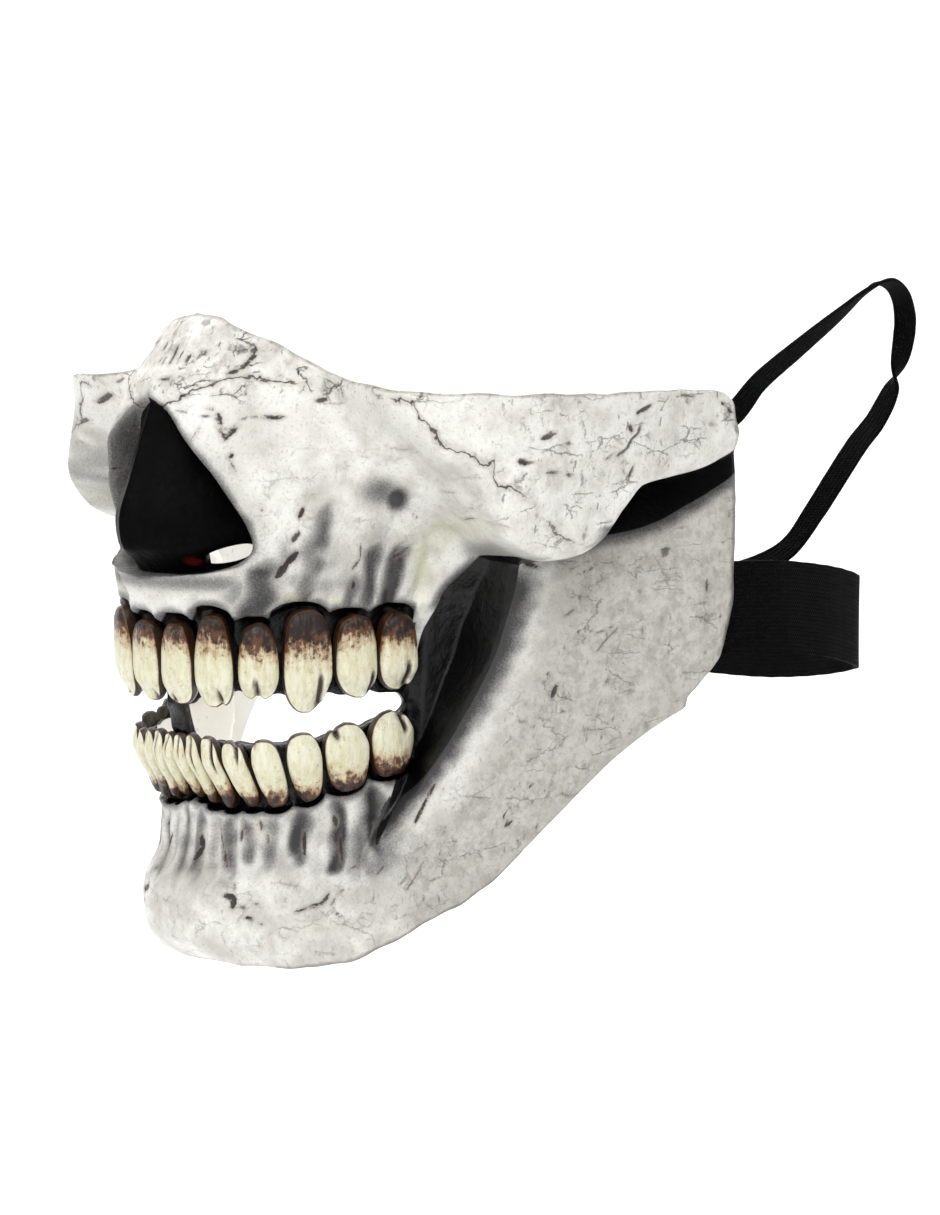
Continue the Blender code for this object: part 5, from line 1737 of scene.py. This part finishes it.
    def cracks(self, coats: Coats) -> None:
        """Hairline cracks that break off and start again, in a coarse and a fine size, where the surface is worn.

        Args:
            coats: the material so far.
        """
        add = coats.add
        worn = add("Attribute", {"attribute_name": "worn"}, out=2)
        flat = add("Attribute", {"attribute_name": "flat"}, out=1)
        for size, stretch, thin, gate, share in ((7.0, 0.45, 0.022, 0.5, 0.75), (3.6, 0.7, 0.03, 0.56, 0.55)):
            placed = add("Mapping", None, {"Vector": flat, "Rotation": (0.0, 0.5, 0.0), "Scale": (stretch, 0.0, 1.0)})
            waver = add("TexNoise", None, {"Vector": flat, "Scale": 1 / 2.5, "Detail": 4.0, "Roughness": 0.7}, out=1)
            bent = add("VectorMath", TIMES_AND_PLUS, {0: waver, 1: (3.0, 0.0, 3.0), 2: placed})
            edge = add("TexVoronoi", {"feature": "DISTANCE_TO_EDGE"}, {"Vector": bent, "Scale": 1 / size})
            line = add("MapRange", SMOOTH, {"Value": edge, "From Min": thin, "From Max": thin / 3})
            patch = add("TexNoise", None, {"Vector": flat, "Scale": 1 / 8.0, "Detail": 2.0})
            gated = add("MapRange", SMOOTH, {"Value": patch, "From Min": gate, "From Max": gate + 0.06})
            here = add("Math", TIMES, {0: line, 1: gated})
            mask = add("Math", TIMES, {0: here, 1: worn})
            coats.lay(mask, self.line, share)
            coats.emboss(add("Math", TIMES, {0: mask, 1: -1.0}), 0.2)

    def flecks(self, coats: Coats) -> None:
        """Small slanted cuts and dots, in sizes that run different ways.

        Args:
            coats: the material so far.
        """
        add = coats.add
        flat = add("Attribute", {"attribute_name": "flat"}, out=1)
        worn = add("Attribute", {"attribute_name": "worn"}, out=2)
        for turn, wide, long, keep, tone in (
            (0.5, 1.5, 6.0, 0.8, 0.85), (-0.8, 1.8, 4.0, 0.86, 0.7), (0.1, 1.0, 1.3, 0.88, 0.55),
        ):
            scale = (1 / wide, 0.0, 1 / long)
            placed = add("Mapping", None, {"Vector": flat, "Rotation": (0.0, turn, 0.0), "Scale": scale})
            waver = add("TexNoise", None, {"Vector": flat, "Scale": 1 / 1.6, "Detail": 4.0, "Roughness": 0.7}, out=1)
            bent = add("VectorMath", TIMES_AND_PLUS, {0: waver, 1: (0.9, 0.0, 0.6), 2: placed})
            cell = {"Vector": bent, "Scale": 1.0}
            near = add("TexVoronoi", None, cell)
            chance = add("TexVoronoi", None, cell, out=1)
            picked = add("MapRange", None, {"Value": chance, "From Min": keep, "From Max": keep + 0.04})
            drop = add("MapRange", SMOOTH, {"Value": near, "From Min": 0.22, "From Max": 0.06})
            here = add("Math", TIMES, {0: drop, 1: picked})
            mask = add("Math", TIMES, {0: here, 1: worn})
            coats.lay(mask, self.line, tone)
            coats.emboss(add("Math", TIMES, {0: mask, 1: -1.0}), 0.25)

    def suture(self, coats: Coats) -> None:
        """Thin wandering lines where two bones meet, each with a faint stain beside it.

        Args:
            coats: the material so far.
        """
        add = coats.add
        total = add("Attribute", {"attribute_name": "suture"}, out=2)
        shown = add("Attribute", {"attribute_name": "suture_on"}, out=2)
        for size, reach in ((2.4, 2.2), (0.8, 0.9)):
            wander = add("TexNoise", None, {"Vector": coats.place, "Scale": 1 / size, "Detail": 1.0})
            centred = add("Math", {"operation": "SUBTRACT"}, {0: wander, 1: 0.5})
            total = add("Math", TIMES_AND_PLUS, {0: centred, 1: reach, 2: total})
        away = add("Math", {"operation": "ABSOLUTE"}, {0: total})
        for near, far, colour, share in ((0.4, 1.5, self.halo, 0.28), (0.1, 0.34, self.line, 0.9)):
            band = add("MapRange", SMOOTH, {"Value": away, "From Min": far, "From Max": near})
            coats.lay(add("Math", TIMES, {0: band, 1: shown}), colour, share)

    def marks(self, coats: Coats) -> None:
        """The charted cuts: a faint brown halo, then a ragged dark core.

        Args:
            coats: the material so far.
        """
        add = coats.add
        mark = add("Attribute", {"attribute_name": "mark"}, out=2)
        tone = add("Attribute", {"attribute_name": "mark_tone"}, out=2)
        for size, low, high, colour, share in (
            (1.4, 0.9, 0.0, self.halo, 0.34), (0.6, 0.2, -0.14, self.line, 0.97),
        ):
            cut = coats.worried(mark, size, 0.45, low, high)
            coats.lay(add("Math", TIMES, {0: cut, 1: tone}), colour, share)


@dataclass(frozen=True)
class BareLining:
    """The unpainted inner face of the casting: cream latex that cured against air, smooth with a soft sheen."""

    cream: str = "#F9F7F1"
    deep: str = "#EFE9D9"

    def material(self) -> bpy.types.Material:
        """Cream with cloudy patches and small bubbles.

        Returns:
            The material.
        """
        coats = Coats("bare_cast_latex", self.cream, IOR=1.52, Roughness=0.36)
        add = coats.add
        cloud = add("TexNoise", None, {"Vector": coats.place, "Scale": 1 / 18.0, "Detail": 4.0})
        coats.lay(add("MapRange", None, {"Value": cloud, "From Min": 0.4, "From Max": 0.7}), self.deep, 0.7)
        bubble = add("TexVoronoi", None, {"Vector": coats.place, "Scale": 1 / 5.0})
        pit = add("MapRange", SMOOTH, {"Value": bubble, "From Min": 0.16, "From Max": 0.06})
        coats.lay(pit, self.deep, 0.6)
        coats.emboss(pit, 0.25)
        coats.emboss(cloud, 1.2)
        return coats.done()


@dataclass(frozen=True)
class CutEdge:
    """The trimmed edge of the casting: latex cut with shears, matt and a little pink, with paint drawn over it."""

    cream: str = "#DCC6B4"
    paint: str = "#E7E2D8"
    dirt: str = "#6A5B52"
    soot: str = "#0A0908"

    def material(self) -> bpy.types.Material:
        """Cream that shows between patches of the skin's paint, and black along the gums.

        Returns:
            The material.
        """
        coats = Coats("sheared_latex_edge", self.cream, IOR=1.52, Roughness=0.6)
        add = coats.add
        patch = add("TexNoise", None, {"Vector": coats.place, "Scale": 1 / 4.0, "Detail": 4.0})
        coats.lay(add("MapRange", None, {"Value": patch, "From Min": 0.45, "From Max": 0.6}), self.paint, 0.8)
        speck = add("TexNoise", None, {"Vector": coats.place, "Scale": 1 / 0.8, "Detail": 2.0})
        coats.lay(add("MapRange", None, {"Value": speck, "From Min": 0.6, "From Max": 0.72}), self.dirt, 0.6)
        soot = add("Attribute", {"attribute_name": "soot"}, out=2)
        coats.lay(coats.worried(soot, 0.9, 0.03, 0.3, 0.4), self.soot, Roughness=0.3)
        coats.emboss(patch, 0.5)
        coats.emboss(speck, 0.15)
        return coats.done()


@dataclass(frozen=True)
class LacqueredTooth:
    """Latex teeth brushed ivory, stained brown from the gum and lacquered, so that they look wet."""

    ivory: str = "#F1F0DC"
    cream: str = "#D6CFA4"
    # Stain colours, which on the side of each crown toward +X also lay painted shade.
    amber: str = "#A5682A"
    brown: str = "#4E240C"
    dark: str = "#160A05"

    def material(self) -> bpy.types.Material:
        """Ivory, upright streaks, the ragged stain, the darker edge with painted shade on the side toward +X, the
        groove and specks, under clear lacquer.

        Returns:
            The material.
        """
        coats = Coats(
            "lacquered_tooth_latex", self.ivory, IOR=1.5, Roughness=0.4, Specular_IOR_Level=0.25, Coat_Weight=0.5,
            Coat_Roughness=0.05,
        )
        add = coats.add
        share = add("Attribute", {"attribute_name": "share"}, out=2)
        streaked = add("Mapping", None, {"Vector": coats.place, "Scale": (1 / 1.3, 1 / 1.3, 1 / 5.0)})
        streak = add("TexNoise", None, {"Vector": streaked, "Scale": 1.0, "Detail": 4.0, "Roughness": 0.65})
        coats.lay(add("MapRange", None, {"Value": streak, "From Min": 0.4, "From Max": 0.68}), self.cream, 0.9)
        coats.lay(add("MapRange", None, {"Value": share, "From Min": 0.95, "From Max": 0.3}), self.cream, 0.5)
        stain = add("Attribute", {"attribute_name": "stain"}, out=2)
        ragged = add("Math", TIMES_AND_PLUS, {0: streak, 1: 0.8, 2: stain})
        for size, torn_by, low, high, colour, cover in (
            (2.6, 0.6, 0.45, 1.1, self.amber, 0.7), (1.8, 0.9, 0.75, 1.1, self.brown, 0.92),
            (2.4, 1.0, 0.98, 1.3, self.dark, 0.95),
        ):
            coats.lay(coats.worried(ragged, size, torn_by, low, high), colour, cover)
        # The darker edge: round the flanks, and painted shade on the side toward +X.
        coats.charted("edge", (1.8, 0.2, 0.35, 0.9, self.amber, 0.6), (1.4, 0.2, 0.62, 0.95, self.dark, 0.92))
        coats.charted("cleft", (1.2, 0.22, 0.2, 0.6, self.brown, 0.7), (1.0, 0.2, 0.5, 0.78, self.dark, 0.92))
        torn = add("TexNoise", None, {"Vector": coats.place, "Scale": 1 / 1.1, "Detail": 5.0, "Roughness": 0.7})
        coats.lay(add("MapRange", None, {"Value": torn, "From Min": 0.6, "From Max": 0.72}), self.brown, 0.6)
        coats.emboss(streak, 0.5)
        coats.emboss(torn, 0.2)
        return coats.done()


@dataclass(frozen=True)
class WovenElastic:
    """Black braided polyester elastic: matt yarn in lengthwise ribs over rubber, with a firm edge on each side."""

    black: str = "#040405"
    yarn: str = "#0F0F11"

    def material(self, rib: float) -> bpy.types.Material:
        """Ribs along the band and the small stitches across them.

        Args:
            rib: millimetres from one rib to the next.

        Returns:
            The material.
        """
        coats = Coats("braided_black_elastic", self.black, Roughness=0.9, Specular_IOR_Level=0.08)
        add = coats.add
        weave = add("Attribute", {"attribute_name": "weave"}, out=1)
        ribs = add("TexWave", {"bands_direction": "X", "wave_profile": "SIN"},
                   {"Vector": weave, "Scale": math.pi / 10 / rib, "Distortion": 0.0})
        stitch = add("Mapping", None, {"Vector": weave, "Rotation": (0.0, math.radians(28), 0.0)})
        knit = add("TexWave", {"bands_direction": "Z", "wave_profile": "SIN"},
                   {"Vector": stitch, "Scale": math.pi / 10 / 0.75, "Distortion": 0.4})
        yarn = add("Math", TIMES, {0: ribs, 1: knit})
        coats.lay(add("MapRange", None, {"Value": yarn, "From Min": 0.15, "From Max": 0.9}), self.yarn, 0.8)
        fuzz = add("TexNoise", None, {"Vector": coats.place, "Scale": 1 / 0.35, "Detail": 3.0})
        coats.emboss(ribs, 0.35)
        coats.emboss(knit, 0.16)
        coats.emboss(fuzz, 0.1)
        return coats.done()


@dataclass(frozen=True)
class Lamp:
    """One soft box: its place and aim in metres, its side and its power in watts."""

    name: str
    at: tuple
    aim: tuple
    side: float
    watts: float


@dataclass(frozen=True)
class Studio:
    """Pale floor that curves up behind, soft boxes and the camera at the photograph's angle."""

    camera_at: tuple = (0.76382, -0.77532, 0.09322)
    camera_aim: tuple = (0.06059, -0.07209, -0.01131)
    lens: float = 118.52
    sensor: float = 36.0
    floor_height: float = -0.3
    floor_side: float = 3.6
    bend_steps: int = 12
    paper: str = "#F4F4F4"
    air: str = "#F4F5F7"
    air_strength: float = 0.32
    lamps: tuple = (
        Lamp("key_light", (0.7, -0.95, 1.15), (0.0, -0.03, -0.01), 0.5, 13.0),
        Lamp("fill_light", (-0.4, -1.3, 0.35), (0.0, -0.03, -0.01), 0.6, 0.8),
        Lamp("small_light", (0.95, -1.1, 0.5), (0.0, -0.03, -0.01), 0.14, 1.4),
        Lamp("backdrop_light", (-0.7, 0.7, 1.9), (-1.5, 1.5, -0.3), 1.6, 70.0),
    )

    def build(self) -> None:
        """Places everything that isn't the mask."""
        self.floor()
        for lamp in self.lamps:
            data = bpy.data.lights.new(lamp.name, "AREA")
            data.energy, data.size = lamp.watts, lamp.side
            self.place(lamp.name, data, lamp.at, lamp.aim)
        data = bpy.data.cameras.new("camera")
        data.lens, data.sensor_width, data.clip_end = self.lens, self.sensor, 30.0
        bpy.context.scene.camera = self.place("camera", data, self.camera_at, self.camera_aim)
        world = bpy.data.worlds.new("pale_room")
        world.use_nodes = True
        sky = world.node_tree.nodes["Background"]
        sky.inputs["Color"].default_value = linear(self.air)
        sky.inputs["Strength"].default_value = self.air_strength
        bpy.context.scene.world = world
        bpy.context.scene.view_settings.view_transform = "Standard"

    def place(self, name: str, data: bpy.types.ID, at: tuple, aim: tuple) -> bpy.types.Object:
        """Adds a lamp or the camera, turned toward its aim.

        Args:
            name: its name.
            data: the lamp or camera.
            at: its place.
            aim: what it faces.

        Returns:
            The object.
        """
        made = bpy.data.objects.new(name, data)
        bpy.context.scene.collection.objects.link(made)
        made.location = at
        made.rotation_euler = (Vector(aim) - Vector(at)).to_track_quat("-Z", "Y").to_euler()
        return made

    def floor(self) -> None:
        """A round matt floor whose rim curves up into a wall."""
        shape = bmesh.new()
        bmesh.ops.create_circle(shape, cap_ends=True, segments=96, radius=self.floor_side * 0.6)
        rim = [edge for edge in shape.edges if edge.is_boundary]
        for step in range(1, self.bend_steps + 1):
            turn = math.radians(90 * step / self.bend_steps)
            grown = bmesh.ops.extrude_edge_only(shape, edges=rim)["geom"]
            rim = [item for item in grown if isinstance(item, bmesh.types.BMEdge)]
            reach = self.floor_side * (0.6 + 0.3 * math.sin(turn))
            for vertex in {vertex for edge in rim for vertex in edge.verts}:
                flat = vertex.co.xy.normalized() * reach
                vertex.co = (flat.x, flat.y, self.floor_side * 0.3 * (1 - math.cos(turn)))
        grown = bmesh.ops.extrude_edge_only(shape, edges=rim)["geom"]
        for vertex in (item for item in grown if isinstance(item, bmesh.types.BMVert)):
            vertex.co.z += self.floor_side
        for vertex in shape.verts:
            vertex.co.z += self.floor_height
        floor = finished(shape, "floor")
        floor.data.materials.append(Coats("matt_white_paper", self.paper, Roughness=0.9).done())


def main() -> None:
    """Builds the casting, the teeth and the elastics, gives each its finish, and then the studio."""
    logging.basicConfig(level=logging.INFO, format="%(name)s: %(message)s")
    sculpt = Sculpt()
    pieces = [Casting(sculpt, Openings()).build()]
    pieces += Teeth(sculpt).build()
    pieces += [Elastic(sculpt, sizes).build() for sizes in (HEAD_BAND, UPPER_STRAP)]
    for piece in pieces:
        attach(piece, ROOT_BODY)
        LOG.info("%s: %d faces", piece.name, len(piece.data.polygons))
    Studio().build()


if __name__ == "__main__":
    main()
